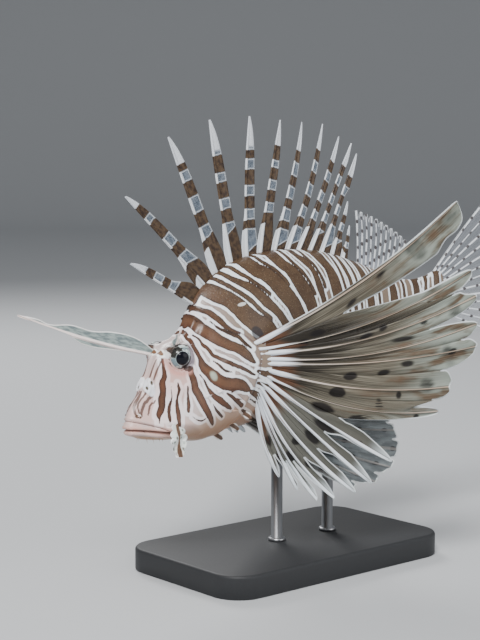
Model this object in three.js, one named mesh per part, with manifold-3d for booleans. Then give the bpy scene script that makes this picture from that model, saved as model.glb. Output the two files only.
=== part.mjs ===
// A red lionfish at life size, swimming with its head down and turned a little, on a display stand.
// Millimetres, +Z up, head towards -X, the fish's left side towards -Y.
// The origin is the middle of the stand's underside.
//
// The body and its fins are drawn on a straight fish (x from the snout to the tail, y to its right,
// z up from the midline) and then bent along the swimming midline.
import * as THREE from "three";
import { mergeVertices } from "three/addons/utils/BufferGeometryUtils.js";
import Module from "manifold-3d";

const wasm = await Module();
wasm.setup();

// Driving sizes
const BODY_LENGTH = 226; // snout to the root of the tail fin
const GAP = 0.3; // clearance between neighbouring pieces
const MIDDLE = 110; // the station that is held over the stand
const MIDDLE_AT = [-8, 0, 118]; // where that station's midline is
const HEADING_AT_SNOUT = 10.1; // degrees from +X towards +Y
const HEADING_AT_TAIL = -9.75;
const PITCH = { x: [0, 57, 115, 172, 230], degrees: [27.6, 18.4, 4.1, 11.4, 14.4] };

// Body stations: x, back, belly, half width, height of the widest level, and where the section
// passes the brow and the jaw, as shares of the half width and of the height from that level.
const STATIONS = [
  [0, 1, -5.5, 3, -2, 0.7, 0.7, 0.75, 0.7],
  [3, 4.2, -9, 5, -3, 0.6, 0.7, 0.75, 0.7],
  [8, 7.6, -13, 8.4, -5, 0.42, 0.72, 0.78, 0.7],
  [15, 10, -17.5, 11.8, -7, 0.32, 0.78, 0.8, 0.7],
  [22, 14.6, -21.5, 14, -8, 0.28, 0.88, 0.82, 0.7],
  [28, 19.5, -25.5, 15.5, -8, 0.3, 0.9, 0.82, 0.7],
  [36, 22, -30, 17, -8, 0.42, 0.86, 0.82, 0.7],
  [46, 21.5, -32.5, 19, -6, 0.44, 0.86, 0.8, 0.7],
  [53, 25, -33, 21, -4, 0.44, 0.74, 0.78, 0.7],
  [60, 33.5, -34.5, 22.5, -2, 0.46, 0.68, 0.76, 0.7],
  [78, 43.5, -38, 25, 0, 0.56, 0.7, 0.74, 0.7],
  [100, 46.5, -40.5, 25, 1, 0.6, 0.7, 0.74, 0.7],
  [125, 45.5, -36, 23, 2, 0.6, 0.7, 0.74, 0.7],
  [150, 40.5, -28, 19, 3, 0.6, 0.7, 0.74, 0.7],
  [172, 31, -19, 14, 3.5, 0.62, 0.7, 0.74, 0.7],
  [190, 20.5, -13, 9.8, 3, 0.66, 0.7, 0.72, 0.7],
  [205, 12.8, -11, 6.5, 1, 0.7, 0.7, 0.72, 0.7],
  [218, 11.2, -11, 4.5, 0, 0.72, 0.72, 0.72, 0.72],
  [226, 12, -12.3, 3, 0, 0.72, 0.74, 0.72, 0.74],
  [229, 11, -11.3, 1.6, 0, 0.72, 0.74, 0.72, 0.74],
];

// Small tools for curves and solids

const radians = (degrees) => (degrees * Math.PI) / 180;
const vec = (x, y, z) => new THREE.Vector3(x, y, z);
const steps = (count, make) => Array.from({ length: count }, (_, i) => make(i));
const mix = (a, b, t) => a + (b - a) * t;
const ease = (from, to, x) => THREE.MathUtils.smoothstep(x, from, to);

// A smooth curve through the values given at rising x, level beyond both ends.
function smooth(xs, ys) {
  const secant = steps(xs.length - 1, (i) => (ys[i + 1] - ys[i]) / (xs[i + 1] - xs[i]));
  const slope = xs.map((x, i) => {
    if (i === 0) return secant[0];
    if (i === xs.length - 1) return secant[i - 1];
    const before = x - xs[i - 1];
    const after = xs[i + 1] - x;
    return (secant[i - 1] * after + secant[i] * before) / (before + after);
  });
  return (x) => {
    const at = Math.min(Math.max(x, xs[0]), xs[xs.length - 1]);
    let i = 0;
    while (i < xs.length - 2 && at > xs[i + 1]) i += 1;
    const h = xs[i + 1] - xs[i];
    const t = (at - xs[i]) / h;
    return (
      ys[i] * (2 * t ** 3 - 3 * t ** 2 + 1) +
      h * slope[i] * (t ** 3 - 2 * t ** 2 + t) +
      ys[i + 1] * (3 * t ** 2 - 2 * t ** 3) +
      h * slope[i + 1] * (t ** 3 - t ** 2)
    );
  };
}

// A closed solid from points and triangles, turned so that its faces point out.
function solidOf(points, triangles) {
  let volume = 0;
  for (const [a, b, c] of triangles) {
    volume += points[a].dot(vec(0, 0, 0).crossVectors(points[b], points[c]));
  }
  const faces = volume < 0 ? triangles.map(([a, b, c]) => [a, c, b]) : triangles;
  return new wasm.Manifold(
    new wasm.Mesh({
      numProp: 3,
      vertProperties: new Float32Array(points.flatMap((p) => [p.x, p.y, p.z])),
      triVerts: new Uint32Array(faces.flat()),
    }),
  );
}

// A closed solid from a three.js geometry, with each point moved by a map where one is given.
function solidFrom(geometry, map = (p) => p) {
  const bare = geometry.clone();
  for (const name of Object.keys(bare.attributes)) {
    if (name !== "position") bare.deleteAttribute(name);
  }
  const merged = mergeVertices(bare, 1e-4);
  const at = merged.getAttribute("position");
  const points = steps(at.count, (i) => map(vec(at.getX(i), at.getY(i), at.getZ(i))));
  const index = merged.index.array;
  const triangles = [];
  for (let i = 0; i < index.length; i += 3) {
    const [a, b, c] = [index[i], index[i + 1], index[i + 2]];
    if (a !== b && b !== c && c !== a) triangles.push([a, b, c]);
  }
  return solidOf(points, triangles);
}

const largest = (solid) =>
  solid.decompose().reduce((best, piece) => (piece.volume() > best.volume() ? piece : best));

function meshOf(name, solid, material) {
  const found = largest(solid).getMesh();
  const stride = found.numProp;
  const position = new Float32Array(found.numVert * 3);
  for (let i = 0; i < found.numVert; i += 1) {
    position.set(found.vertProperties.subarray(i * stride, i * stride + 3), i * 3);
  }
  const geometry = new THREE.BufferGeometry();
  geometry.setAttribute("position", new THREE.BufferAttribute(position, 3));
  geometry.setIndex(new THREE.BufferAttribute(new Uint32Array(found.triVerts), 1));
  geometry.computeVertexNormals();
  const mesh = new THREE.Mesh(geometry, material);
  mesh.name = name;
  return mesh;
}

// Normals at the points of an open sheet, from the triangles round each.
function sheetNormals(points, triangles) {
  const normals = points.map(() => vec(0, 0, 0));
  for (const [a, b, c] of triangles) {
    const ab = points[b].clone().sub(points[a]);
    const ac = points[c].clone().sub(points[a]);
    const normal = ab.cross(ac);
    for (const i of [a, b, c]) normals[i].add(normal);
  }
  return normals.map((n) => n.normalize());
}

// A sheet with half a thickness at each point becomes a solid, split alike on both faces.
function thicken(points, halves, triangles) {
  const normals = sheetNormals(points, triangles);
  const front = points.map((p, i) => p.clone().addScaledVector(normals[i], halves[i]));
  const back = points.map((p, i) => p.clone().addScaledVector(normals[i], -halves[i]));
  const count = points.length;
  const edges = new Set(triangles.flatMap(([a, b, c]) => [`${a} ${b}`, `${b} ${c}`, `${c} ${a}`]));
  const walls = [];
  for (const [a, b, c] of triangles) {
    for (const [from, to] of [[a, b], [b, c], [c, a]]) {
      if (edges.has(`${to} ${from}`)) continue;
      walls.push([to, from, from + count], [to, from + count, to + count]);
    }
  }
  const behind = triangles.map(([a, b, c]) => [a + count, c + count, b + count]);
  return solidOf([...front, ...back], [...triangles, ...behind, ...walls]);
}

// The swimming midline

const pitchAt = smooth(PITCH.x, PITCH.degrees);
const headingAt = (x) => mix(HEADING_AT_SNOUT, HEADING_AT_TAIL, x / BODY_LENGTH);

// Tailward, rightward and upward directions at a station.
function axesAt(x) {
  const pitch = radians(pitchAt(x));
  const heading = radians(headingAt(x));
  const tailward = vec(
    Math.cos(pitch) * Math.cos(heading),
    Math.cos(pitch) * Math.sin(heading),
    Math.sin(pitch),
  );
  const rightward = vec(-Math.sin(heading), Math.cos(heading), 0);
  return { tailward, rightward, upward: vec(0, 0, 0).crossVectors(tailward, rightward) };
}

const MIDLINE_FROM = -80;
const MIDLINE_TO = 330;
const midline = steps(MIDLINE_TO - MIDLINE_FROM + 1, () => vec(0, 0, 0));
for (let i = 1; i < midline.length; i += 1) {
  midline[i].copy(midline[i - 1]).add(axesAt(MIDLINE_FROM + i - 0.5).tailward);
}
const heldPoint = midline[MIDDLE - MIDLINE_FROM].clone();
for (const point of midline) point.sub(heldPoint);

// A point of the straight fish, bent with the midline, measured from the held station.
function bend(p) {
  const along = Math.min(Math.max(p.x, MIDLINE_FROM), MIDLINE_TO - 1) - MIDLINE_FROM;
  const i = Math.floor(along);
  const { rightward, upward } = axesAt(p.x);
  return midline[i]
    .clone()
    .lerp(midline[i + 1], along - i)
    .addScaledVector(rightward, p.y)
    .addScaledVector(upward, p.z);
}

// The body's skin

const COLUMNS = ["back", "belly", "half", "level", "browOut", "browUp", "jawOut", "jawDown"];
const shape = Object.fromEntries(
  COLUMNS.map((name, k) => [name, smooth(STATIONS.map((s) => s[0]), STATIONS.map((s) => s[k + 1]))]),
);

// The five points that steer one side of a section, from the back down to the belly.
function sectionPoint(x, i) {
  if (i < 0 || i > 4) {
    const [y, z] = sectionPoint(x, i < 0 ? -i : 8 - i);
    return [-y, z];
  }
  const level = shape.level(x);
  const half = shape.half(x);
  if (i === 0) return [0, shape.back(x)];
  if (i === 1) return [half * shape.browOut(x), mix(level, shape.back(x), shape.browUp(x))];
  if (i === 2) return [half, level];
  if (i === 3) return [half * shape.jawOut(x), mix(level, shape.belly(x), shape.jawDown(x))];
  return [0, shape.belly(x)];
}

// A point on the straight fish's skin: side -1 is its left, and around runs from 0 on the back
// to 4 under the belly.
function skin(x, around, side, flare = 0) {
  const k = Math.min(3, Math.floor(around));
  const t = around - k;
  const [a, b, c, d] = [-1, 0, 1, 2].map((i) => sectionPoint(x, k + i));
  const through = (n) =>
    b[n] +
    0.5 * t * (c[n] - a[n] + t * (2 * a[n] - 5 * b[n] + 4 * c[n] - d[n] +
    t * (3 * (b[n] - c[n]) + d[n] - a[n])));
  const outwards = flare * ease(60, 82, x) * Math.sin((Math.PI * around) / 4);
  return vec(x, side * (through(0) + outwards), through(1));
}

// A closed loft over the given stations, bent, and grown by a clearance.
function loft(xs, { flare = 0, grown = 0, ring = 28 } = {}) {
  const half = ring / 2;
  const points = [];
  for (const x of xs) {
    for (let i = 0; i < ring; i += 1) {
      const side = i <= half ? 1 : -1;
      const around = (4 * (i <= half ? i : ring - i)) / half;
      points.push(skin(x, around, side, flare));
    }
  }
  const triangles = [];
  for (let row = 0; row + 1 < xs.length; row += 1) {
    for (let i = 0; i < ring; i += 1) {
      const a = row * ring + i;
      const b = row * ring + ((i + 1) % ring);
      triangles.push([a, b, b + ring], [a, b + ring, a + ring]);
    }
  }
  for (const row of [0, xs.length - 1]) {
    const middle = points.length;
    const beyond = row ? 1.2 : -1.2;
    points.push(vec(xs[row] + beyond, 0, (shape.back(xs[row]) + shape.belly(xs[row])) / 2));
    for (let i = 0; i < ring; i += 1) {
      const a = row * ring + i;
      const b = row * ring + ((i + 1) % ring);
      triangles.push(row ? [a, b, middle] : [b, a, middle]);
    }
  }
  const bent = points.map(bend);
  const normals = sheetNormals(bent, triangles);
  const outward = Math.sign(normals[0].dot(axesAt(xs[0]).upward)) || 1;
  return solidOf(bent.map((p, i) => p.addScaledVector(normals[i], outward * grown)), triangles);
}

const HEAD_ROWS = [0, 1.2, 3, 5.5, 8, 11, 14, 17, 20, 23, 26, 29.5, 33, 36.5, 40, 43.5, 47, 50.5, 54, 57.5,
  61, 65, 69, 73, 77, 81, 85, 89];
const TRUNK_ROWS = [42, 47, 52, 56, 60, 65, 70, 76, 83, 91, 100, 110, 120, 130, 140, 150, 160, 170, 179,
  188, 196, 204, 211, 218, 223, 227, 229];
const GILL_FLARE = 1.1; // how far the gill cover stands out over the flank

const headForm = loft(HEAD_ROWS, { flare: GILL_FLARE });
const trunkForm = loft(TRUNK_ROWS);
const trunkRoom = loft(TRUNK_ROWS, { grown: GAP });

// A slab across the fish with its outline in x and z, bent with the body.
function slab(outline) {
  const finer = [];
  outline.forEach(([x, z], i) => {
    const [nextX, nextZ] = outline[(i + 1) % outline.length];
    const parts = Math.ceil(Math.hypot(nextX - x, nextZ - z) / 8);
    for (let k = 0; k < parts; k += 1) finer.push([mix(x, nextX, k / parts), mix(z, nextZ, k / parts)]);
  });
  const drawn = new THREE.Shape(finer.map(([x, z]) => new THREE.Vector2(x, z)));
  const width = 90;
  const geometry = new THREE.ExtrudeGeometry(drawn, { depth: width, bevelEnabled: false, steps: 1 });
  return solidFrom(geometry, (p) => bend(vec(p.x, p.z - width / 2, p.y)));
}

// The gill cover's edge from the nape down to the throat, and the mouth from lip to corner and
// on down behind the jaw.
const GILL_EDGE = [[50, 60], [54, 38], [60, 27], [68, 17], [74, 7], [72, -2], [67, -12], [61, -19],
  [54, -27], [47, -35], [40, -50]];
const MOUTH_LINE = [[-8, 2.6], [-2, -0.9], [6, -6], [15, -12], [24, -17]];
const JAW_BACK = [[31, -22], [36, -27], [40, -34], [44, -44]];
const TAIL_CUT = 176;
const FAR = 70;

const shifted = (line, dx, dz) => line.map(([x, z]) => [x + dx, z + dz]);
const ahead = slab([...shifted(GILL_EDGE, -GAP, 0), [-40, -50], [-40, 60]]);
const aheadRoom = slab([...GILL_EDGE, [-40, -50], [-40, 60]]);
const headRoom = loft(HEAD_ROWS, { flare: GILL_FLARE, grown: GAP }).intersect(aheadRoom);
const behindGill = slab([...GILL_EDGE, [TAIL_CUT, -50], [TAIL_CUT, 60]]);
const behindTrunk = slab([[TAIL_CUT + GAP, 50], [TAIL_CUT + GAP, -50], [250, -50], [250, 50]]);
const jawSpace = (up, back) =>
  slab([...shifted(MOUTH_LINE, 0, up), ...shifted(JAW_BACK, back, 0), [-20, -FAR + 10], [-20, 0]]);

// Eyes

const EYE = { at: [38.4, 6.6, 16.3], radius: 6.3, rim: 7.3, opening: 5.5, gaze: [-0.4, 1, 0.1] };

const EYE_BORE = { from: 3, depth: 9, flare: 1.6, taper: 0.8 }; // the cone that opens the rim

function eyeParts(side) {
  const centre = bend(vec(EYE.at[0], side * EYE.at[1], EYE.at[2]));
  const { tailward, rightward, upward } = axesAt(EYE.at[0]);
  const gaze = vec(0, 0, 0)
    .addScaledVector(tailward, EYE.gaze[0])
    .addScaledVector(rightward, side * EYE.gaze[1])
    .addScaledVector(upward, EYE.gaze[2])
    .normalize();
  const turn = new THREE.Quaternion().setFromUnitVectors(vec(0, 1, 0), gaze);
  const set = (p) => p.applyQuaternion(turn).add(centre);
  const ball = (radius, across, down) =>
    solidFrom(new THREE.SphereGeometry(radius, across, down), set);
  const { depth, from, flare, taper: narrowing } = EYE_BORE;
  const bore = new THREE.CylinderGeometry(EYE.opening + flare, EYE.opening - narrowing, depth, 20);
  bore.translate(0, from + depth / 2, 0);
  return {
    ball: ball(EYE.radius, 18, 12),
    room: ball(EYE.radius + GAP, 18, 12),
    rim: ball(EYE.rim, 16, 12),
    rimRoom: ball(EYE.rim + GAP, 16, 12),
    opening: solidFrom(bore, set),
  };
}

// Fins

// A fin ray on the straight fish or in a fin's own frame: it runs from root along one direction
// and ends along another, with the fin's sheet facing along normal. Lead and trail are the
// sheet's widths on its two edges, ridge and film half its thickness, all from 0 at the root to
// 1 at the tip, and web is how far the sheet joins this ray to the next.
function makeRay({ root, start, finish, length, normal, lead, trail, ridge, film, web, map }) {
  const knee = root.clone().addScaledVector(start, length * 0.5);
  const tip = knee.clone().addScaledVector(finish, length * 0.5);
  const curve = new THREE.QuadraticBezierCurve3(root, knee, tip);
  const at = (s, across) => {
    const side = normal.clone().cross(curve.getTangent(Math.min(s, 1))).normalize();
    return map(curve.getPoint(Math.min(s, 1)).addScaledVector(side, across));
  };
  return { at, length, lead, trail, ridge, film, web };
}

const TIP_ROWS = 1.6; // rows past the web stand closer together towards the tip

// A ray's vane past the web is no wider than leaves room for its neighbour's.
const VANE_SHARE = 0.44;

function roomBeside(ray, other, s) {
  if (!other) return Infinity;
  const here = ray.at(s, 0);
  const distances = steps(25, (i) => other.at(i / 24, 0).distanceTo(here));
  return VANE_SHARE * Math.min(...distances);
}

// The rays side by side in one sheet: near the root each valley is shared by two rays, and past
// the web each ray has its own free edges.
function fin(rays, { rows, webRows, lean = 0.5, reach = 1 }) {
  const points = [];
  const halves = [];
  const add = (point, half) => {
    points.push(point);
    halves.push(half);
    return points.length - 1;
  };
  const valleys = rays.slice(1).map((next, i) => {
    const ray = rays[i];
    return steps(webRows + 1, (j) => {
      const share = j / webRows;
      const here = ray.at(share * ray.web, 0);
      const there = next.at(Math.min(1, (share * ray.web * ray.length * reach) / next.length), 0);
      return add(here.lerp(there, lean), ray.film(share * ray.web));
    });
  });
  const triangles = [];
  const ladder = (a, b) => {
    for (let j = 0; j < rows; j += 1) {
      triangles.push([a[j], a[j + 1], b[j + 1]], [a[j], b[j + 1], b[j]]);
    }
  };
  rays.forEach((ray, i) => {
    const before = rays[Math.max(i - 1, 0)].web;
    const web = i === rays.length - 1 ? before : i === 0 ? ray.web : (before + ray.web) / 2;
    const along = (j) => {
      if (j <= webRows) return (web * j) / webRows;
      return mix(1, web, ((rows - j) / (rows - webRows)) ** TIP_ROWS);
    };
    const column = (make) => steps(rows + 1, (j) => make(along(j), j));
    const edge = (valley, width) =>
      column((s, j) => (valley && j <= webRows ? valley[j] : add(ray.at(s, width(s)), ray.film(s))));
    const lead = edge(valleys[i - 1], (s) => -Math.min(ray.lead(s), roomBeside(ray, rays[i - 1], s)));
    const ridge = column((s) => add(ray.at(s, 0), ray.ridge(s)));
    const trail = edge(valleys[i], (s) => Math.min(ray.trail(s), roomBeside(ray, rays[i + 1], s)));
    ladder(lead, ridge);
    ladder(ridge, trail);
  });
  return thicken(points, halves, triangles);
}

const taper = (root, tip) => (s) => mix(root, tip, s);
const FILM = 0.27; // half the thickness of a fin's membrane

// Spines of the back: x of the root, length, and lean from upright towards the tail.
const BACK_SPINES = [
  [60, 44, -38], [69, 65, -26], [77, 73, -8], [86, 72, -1], [95, 70, 6], [103, 68, 14], [112, 69, 22],
  [121, 73, 32], [129, 70, 39], [138, 67, 41], [147, 60, 39], [155, 31, 34], [163, 18, 26],
];
const ROOT_DEPTH = 4; // how deep fin roots are drawn below the skin before they are cut to it

// A direction in the fish's middle plane, by its lean from upright towards the tail.
const leaning = (lean) => vec(Math.sin(radians(lean)), 0, Math.cos(radians(lean)));

// The film behind each spine: its width, the extra width of its foot and how high that reaches,
// and the length of spine from which it is full.
const SAIL = { width: 5, foot: 3.4, footHeight: 22, fullFrom: 55 };

function spinyDorsal() {
  const rays = BACK_SPINES.map(([x, length, lean]) => {
    const full = length + ROOT_DEPTH;
    return makeRay({
      root: vec(x, 0, shape.back(x)).addScaledVector(leaning(lean), -ROOT_DEPTH),
      start: leaning(lean - 3),
      finish: leaning(lean + 3),
      length: full,
      normal: vec(0, 1, 0),
      lead: taper(1.2, 0.5),
      trail: (s) => {
        const foot = SAIL.foot * Math.max(0, 1 - (s * full) / SAIL.footHeight) ** 2;
        const width = foot + SAIL.width * (1 - 0.3 * s);
        return Math.min(1, full / SAIL.fullFrom) * width * (1 - s ** 7) + 0.4;
      },
      ridge: taper(1.2, 0.4),
      film: () => FILM + 0.05,
      web: (ROOT_DEPTH + 6) / full,
      map: bend,
    });
  });
  return fin(rays, { rows: 8, webRows: 2, lean: 0.72, reach: 0.8 });
}

function softDorsal() {
  const count = 11;
  const rays = steps(count, (i) => {
    const x = mix(172, 197, i / (count - 1));
    const lean = mix(11, 30, i / (count - 1));
    return makeRay({
      root: vec(x, 0, shape.back(x) - ROOT_DEPTH),
      start: leaning(lean + 4),
      finish: leaning(lean - 6),
      length: ROOT_DEPTH + mix(28, 21, (i / (count - 1)) ** 2),
      normal: vec(0, 1, 0),
      lead: () => 0.8,
      trail: () => 0.8,
      ridge: taper(0.75, 0.35),
      film: () => FILM,
      web: 0.9,
      map: bend,
    });
  });
  return fin(rays, { rows: 5, webRows: 4 });
}

function analFin() {
  const lengths = [12, 19, 24, 33, 37, 38, 37, 34, 30, 25];
  const rays = lengths.map((length, i) => {
    const x = mix(150, 190, i / (lengths.length - 1));
    const lean = mix(150, 128, i / (lengths.length - 1));
    return makeRay({
      root: vec(x, 0, shape.belly(x) + ROOT_DEPTH),
      start: leaning(lean),
      finish: leaning(lean - 10),
      length: length + ROOT_DEPTH,
      normal: vec(0, -1, 0),
      lead: () => 0.9,
      trail: () => 0.9,
      ridge: taper(i < 3 ? 1 : 0.75, 0.35),
      film: () => FILM,
      web: i < 3 ? 0.6 : 0.88,
      map: bend,
    });
  });
  return fin(rays, { rows: 5, webRows: 4 });
}

function caudalFin() {
  const count = 13;
  const rays = steps(count, (i) => {
    const share = (2 * i) / (count - 1) - 1;
    return makeRay({
      root: vec(BODY_LENGTH - 4, 0, -9.5 * share),
      start: leaning(90 + 36 * share),
      finish: leaning(90 + 30 * share),
      length: 4 + 70 - 9 * Math.abs(share) ** 3,
      normal: vec(0, 1, 0),
      lead: () => 1,
      trail: () => 1,
      ridge: taper(0.85, 0.35),
      film: () => FILM,
      web: 0.93,
      map: bend,
    });
  });
  return fin(rays, { rows: 6, webRows: 5 });
}

// The plane of a paired fin that is spread from the flank by an angle: its direction away from
// the root, the direction of a ray at an elevation, and its normal.
function spreadPlane(x, side, spread) {
  const { tailward, rightward, upward } = axesAt(x);
  const away = tailward
    .clone()
    .multiplyScalar(Math.cos(radians(spread)))
    .addScaledVector(rightward, side * Math.sin(radians(spread)));
  const way = (degrees) =>
    away
      .clone()
      .multiplyScalar(Math.cos(radians(degrees)))
      .addScaledVector(upward, Math.sin(radians(degrees)));
  return { away, way, normal: vec(0, 0, 0).crossVectors(away, upward).normalize() };
}

// Where the skin of one side is at a height: the widest y at that x and z.
function skinAt(x, z, side) {
  let best = skin(x, 2, side);
  for (let i = 0; i <= 80; i += 1) {
    const p = skin(x, i / 20, side);
    if (Math.abs(p.z - z) < Math.abs(best.z - z)) best = p;
  }
  return best;
}

// Rays of the pectoral fin from the top one down: length, elevation at the root and at the tip,
// share that is webbed to the next, and the widths of the sheet above and below the ray.
const PECTORAL_RAYS = [
  [119, 15, 37, 0.4, 1.2, 12.5], [113, -5, 26, 0.9, 3.5, 7], [112, -10, 20, 0.78, 5, 6],
  [110, -16, 14, 0.92, 5, 6], [106, -15, 3, 0.86, 5, 7], [95, -30, -3, 0.95, 5, 5],
  [95, -43, -4, 0.5, 4, 3.5], [78, -49, -39, 0.55, 6, 1.2], [76, -57, -50, 0.6, 5, 1.2],
  [74, -71, -47, 0.6, 5, 1.2], [69, -81, -51, 0.6, 5, 1.2], [62, -82, -61, 0.6, 4.5, 1.2],
  [50, -81, -73, 0.6, 4, 1.2], [39, -94, -73, 0.6, 3.5, 1],
];

const PAIRED_ROOT = 5; // how deep the paired fins are rooted
const FLESH = { thickness: 3.2, reach: 22 }; // the pectoral fin's fleshy root
const ROUND_RAYS = 7; // the upper rays end in round lobes, the others in points
// The top ray's film widens like a banner to a notched round tip.
const BANNER = smooth([0, 0.3, 0.6, 0.8, 0.87, 0.93, 0.98, 1], [0.5, 0.68, 0.88, 1, 0.78, 0.8, 0.45, 0]);

function pectoralFin(side, spread, elevate) {
  const x = 78;
  const { away, way, normal } = spreadPlane(x, side, spread);
  const rays = PECTORAL_RAYS.map(([length, first, last, web, lead, trail], i) => {
    const share = i / (PECTORAL_RAYS.length - 1);
    const skinPoint = bend(skinAt(mix(x, x - 2, share), mix(8, -20, share), side));
    const flesh = (s) => FLESH.thickness * Math.max(0, 1 - (s * length) / FLESH.reach) ** 2;
    const end = i < ROUND_RAYS ? (s) => Math.sqrt(1 - s ** 8) : (s) => Math.min(1, 4 * (1 - s)) ** 0.6;
    return makeRay({
      root: skinPoint.addScaledVector(away, -PAIRED_ROOT),
      start: way(elevate(first)),
      finish: way(elevate(last)),
      length: length + PAIRED_ROOT,
      normal: normal.clone().negate(),
      lead: (s) => lead * end(s) + 0.4,
      trail: (s) => trail * (i ? end(s) : BANNER(s)) + 0.4,
      ridge: (s) => mix(0.95, 0.4, s) + flesh(s),
      film: (s) => FILM + 0.9 * flesh(s),
      web,
      map: (p) => p,
    });
  });
  return fin(rays, { rows: 8, webRows: 4 });
}

// Rays of the pelvic fin from the outer spine inwards: length and elevation.
const PELVIC = [[62, -45], [70, -39], [73, -32], [72, -25], [67, -18], [60, -12]];

function pelvicFin(side, spread, elevate) {
  const x = 76;
  const { away, way, normal } = spreadPlane(x, side, spread);
  const rays = PELVIC.map(([length, angle], i) => {
    const root = bend(skinAt(mix(x, x + 9, i / 5), -33, side));
    return makeRay({
      root: root.addScaledVector(away, -PAIRED_ROOT - 1),
      start: way(elevate(angle - 4)),
      finish: way(elevate(angle + 6)),
      length: length + PAIRED_ROOT + 1,
      normal,
      lead: () => 1.2,
      trail: () => 1.2,
      ridge: (s) => mix(1, 0.4, s),
      film: () => FILM,
      web: 0.96,
      map: (p) => p,
    });
  });
  return fin(rays, { rows: 6, webRows: 5 });
}

// Growths of the head

// One leaf of skin: a midrib with a film on both sides whose width follows the given shapes.
function leaf({ root, start, finish, length, normal, lead, trail, ridge, film = FILM, rows }) {
  const ray = makeRay({
    root, start, finish, length, normal, lead, trail, ridge, film: () => film, web: 1 / rows, map: (p) => p,
  });
  return fin([ray], { rows, webRows: 1 });
}

// A tentacle has its midrib low, a blade above it and a short lobe below, both of given widths.
const TENTACLE_RIGHT = {
  at: [31, 5, 20.5], length: 66, width: 1, way: [-0.72, 0.62, 0.17], rise: 0.24, rows: 13,
};
const TENTACLE_LEFT = { at: [40, -7, 23], length: 7, width: 0.45, way: [0.1, -0.35, 1], rise: 0, rows: 5 };
const BLADE = smooth([0, 0.13, 0.32, 0.46, 0.62, 0.79, 0.84, 1], [2, 6.2, 7, 4.8, 4.6, 1.4, 1.8, 0.2]);
const LOBE = smooth([0, 0.2, 0.3, 0.45, 0.54, 0.6, 1], [0.6, 0.6, 1.5, 2.6, 2.2, 0.6, 0.4]);

// The long tentacle over the right eye, and the short one over the left.
function tentacle({ at, length, width, way, rise, rows }) {
  const root = bend(vec(...at));
  const start = vec(...way).normalize();
  return leaf({
    root: root.addScaledVector(start, -3),
    start,
    finish: start.clone().add(vec(0, 0, rise)).normalize(),
    length: length + 3,
    normal: vec(0, 0, 0).crossVectors(vec(0, 0, 1), start).normalize(),
    lead: (s) => width * BLADE(s) + 0.3,
    trail: (s) => width * LOBE(s) + 0.3,
    ridge: taper(1, 0.5),
    rows,
  });
}

// The frilled cirrus that hangs from the upper jaw; sweep is how far it leans towards the tail.
function frill(side, length, sweep) {
  const { tailward, rightward, upward } = axesAt(19);
  const root = bend(skinAt(19, -9, side));
  const start = vec(0, 0, -1).addScaledVector(rightward, side * 0.35).addScaledVector(tailward, sweep);
  const belly = (s) => 0.2 * length * Math.sin(Math.PI * s);
  const scallop = (s, phase) => 0.053 * length * Math.sin(9 * Math.PI * s + phase);
  return leaf({
    root: root.addScaledVector(upward, 1).addScaledVector(rightward, -side * 0.5),
    start: start.normalize(),
    finish: vec(0, 0, -1).addScaledVector(tailward, sweep).normalize(),
    length,
    normal: rightward.clone().multiplyScalar(side),
    lead: (s) => 2 + belly(s) + scallop(s, 0),
    trail: (s) => 1.4 + belly(s) + scallop(s, 2),
    ridge: taper(0.9, 0.4),
    rows: 20,
  });
}

// The head

function lip(line, lift, thickness, clearance = 0) {
  const radius = thickness + clearance;
  const ahead = [...line].reverse().map(([x, z]) => skinAt(x, z + lift, 1));
  const behind = ahead.slice().reverse().map((p) => vec(p.x, -p.y, p.z));
  const points = [...ahead, vec(-0.2, 0, line[0][1] + lift + 0.6), ...behind];
  const path = new THREE.CatmullRomCurve3(points.map(bend));
  const round = new THREE.Shape(steps(6, (i) => {
    const angle = (Math.PI * i) / 3;
    return new THREE.Vector2(radius * Math.cos(angle), radius * Math.sin(angle));
  }));
  const geometry = new THREE.ExtrudeGeometry(round, { steps: 22, extrudePath: path, bevelEnabled: false });
  return solidFrom(geometry);
}

const LIP_LINE = [[1, -2.8], [5, -5.4], [10, -8.7], [15, -12], [19, -14.2]];
const UPPER_LIP = [1.7, 1.1]; // lift from the mouth's line, and half a thickness
const LOWER_LIP = [-1.4, 1];

// Small spines on the brow, the nape and the cheek: station, place round the section, length.
const HEAD_SPINES = [
  [35, 1, 3.6], [44, 0.95, 4], [50, 0.6, 3.4], [57, 0.5, 3.8],
  [40, 1.9, 3], [47, 2, 3.4], [54, 2.2, 4], [55, 2.45, 4], [53, 2.7, 3.6],
];
const HEAD_SPINE = { radius: 1.1, sunk: 1.2, out: 0.8, back: 0.75 };

function headSpine(x, around, side, length) {
  const at = bend(skin(x, around, side));
  const beside = bend(skin(x, around + 0.05, side)).sub(at);
  const { tailward } = axesAt(x);
  const outwards = vec(0, 0, 0).crossVectors(tailward, beside).normalize();
  if (outwards.dot(at.clone().sub(bend(vec(x, 0, 0)))) < 0) outwards.negate();
  const way = outwards.multiplyScalar(HEAD_SPINE.out).addScaledVector(tailward, HEAD_SPINE.back).normalize();
  const turn = new THREE.Quaternion().setFromUnitVectors(vec(0, 1, 0), way);
  const cone = new THREE.ConeGeometry(HEAD_SPINE.radius, length, 5);
  cone.translate(0, length / 2 - HEAD_SPINE.sunk, 0);
  return solidFrom(cone, (p) => p.applyQuaternion(turn).add(at));
}

// Leaf shaped flaps of skin along the cheek's lower edge and on the snout: station, height, length.
const FLAPS = [[61, -24, 6], [55, -28.5, 6], [49, -32, 6.5], [5, 2.6, 3.5], [20.5, 11.5, 4.5]];

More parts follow.
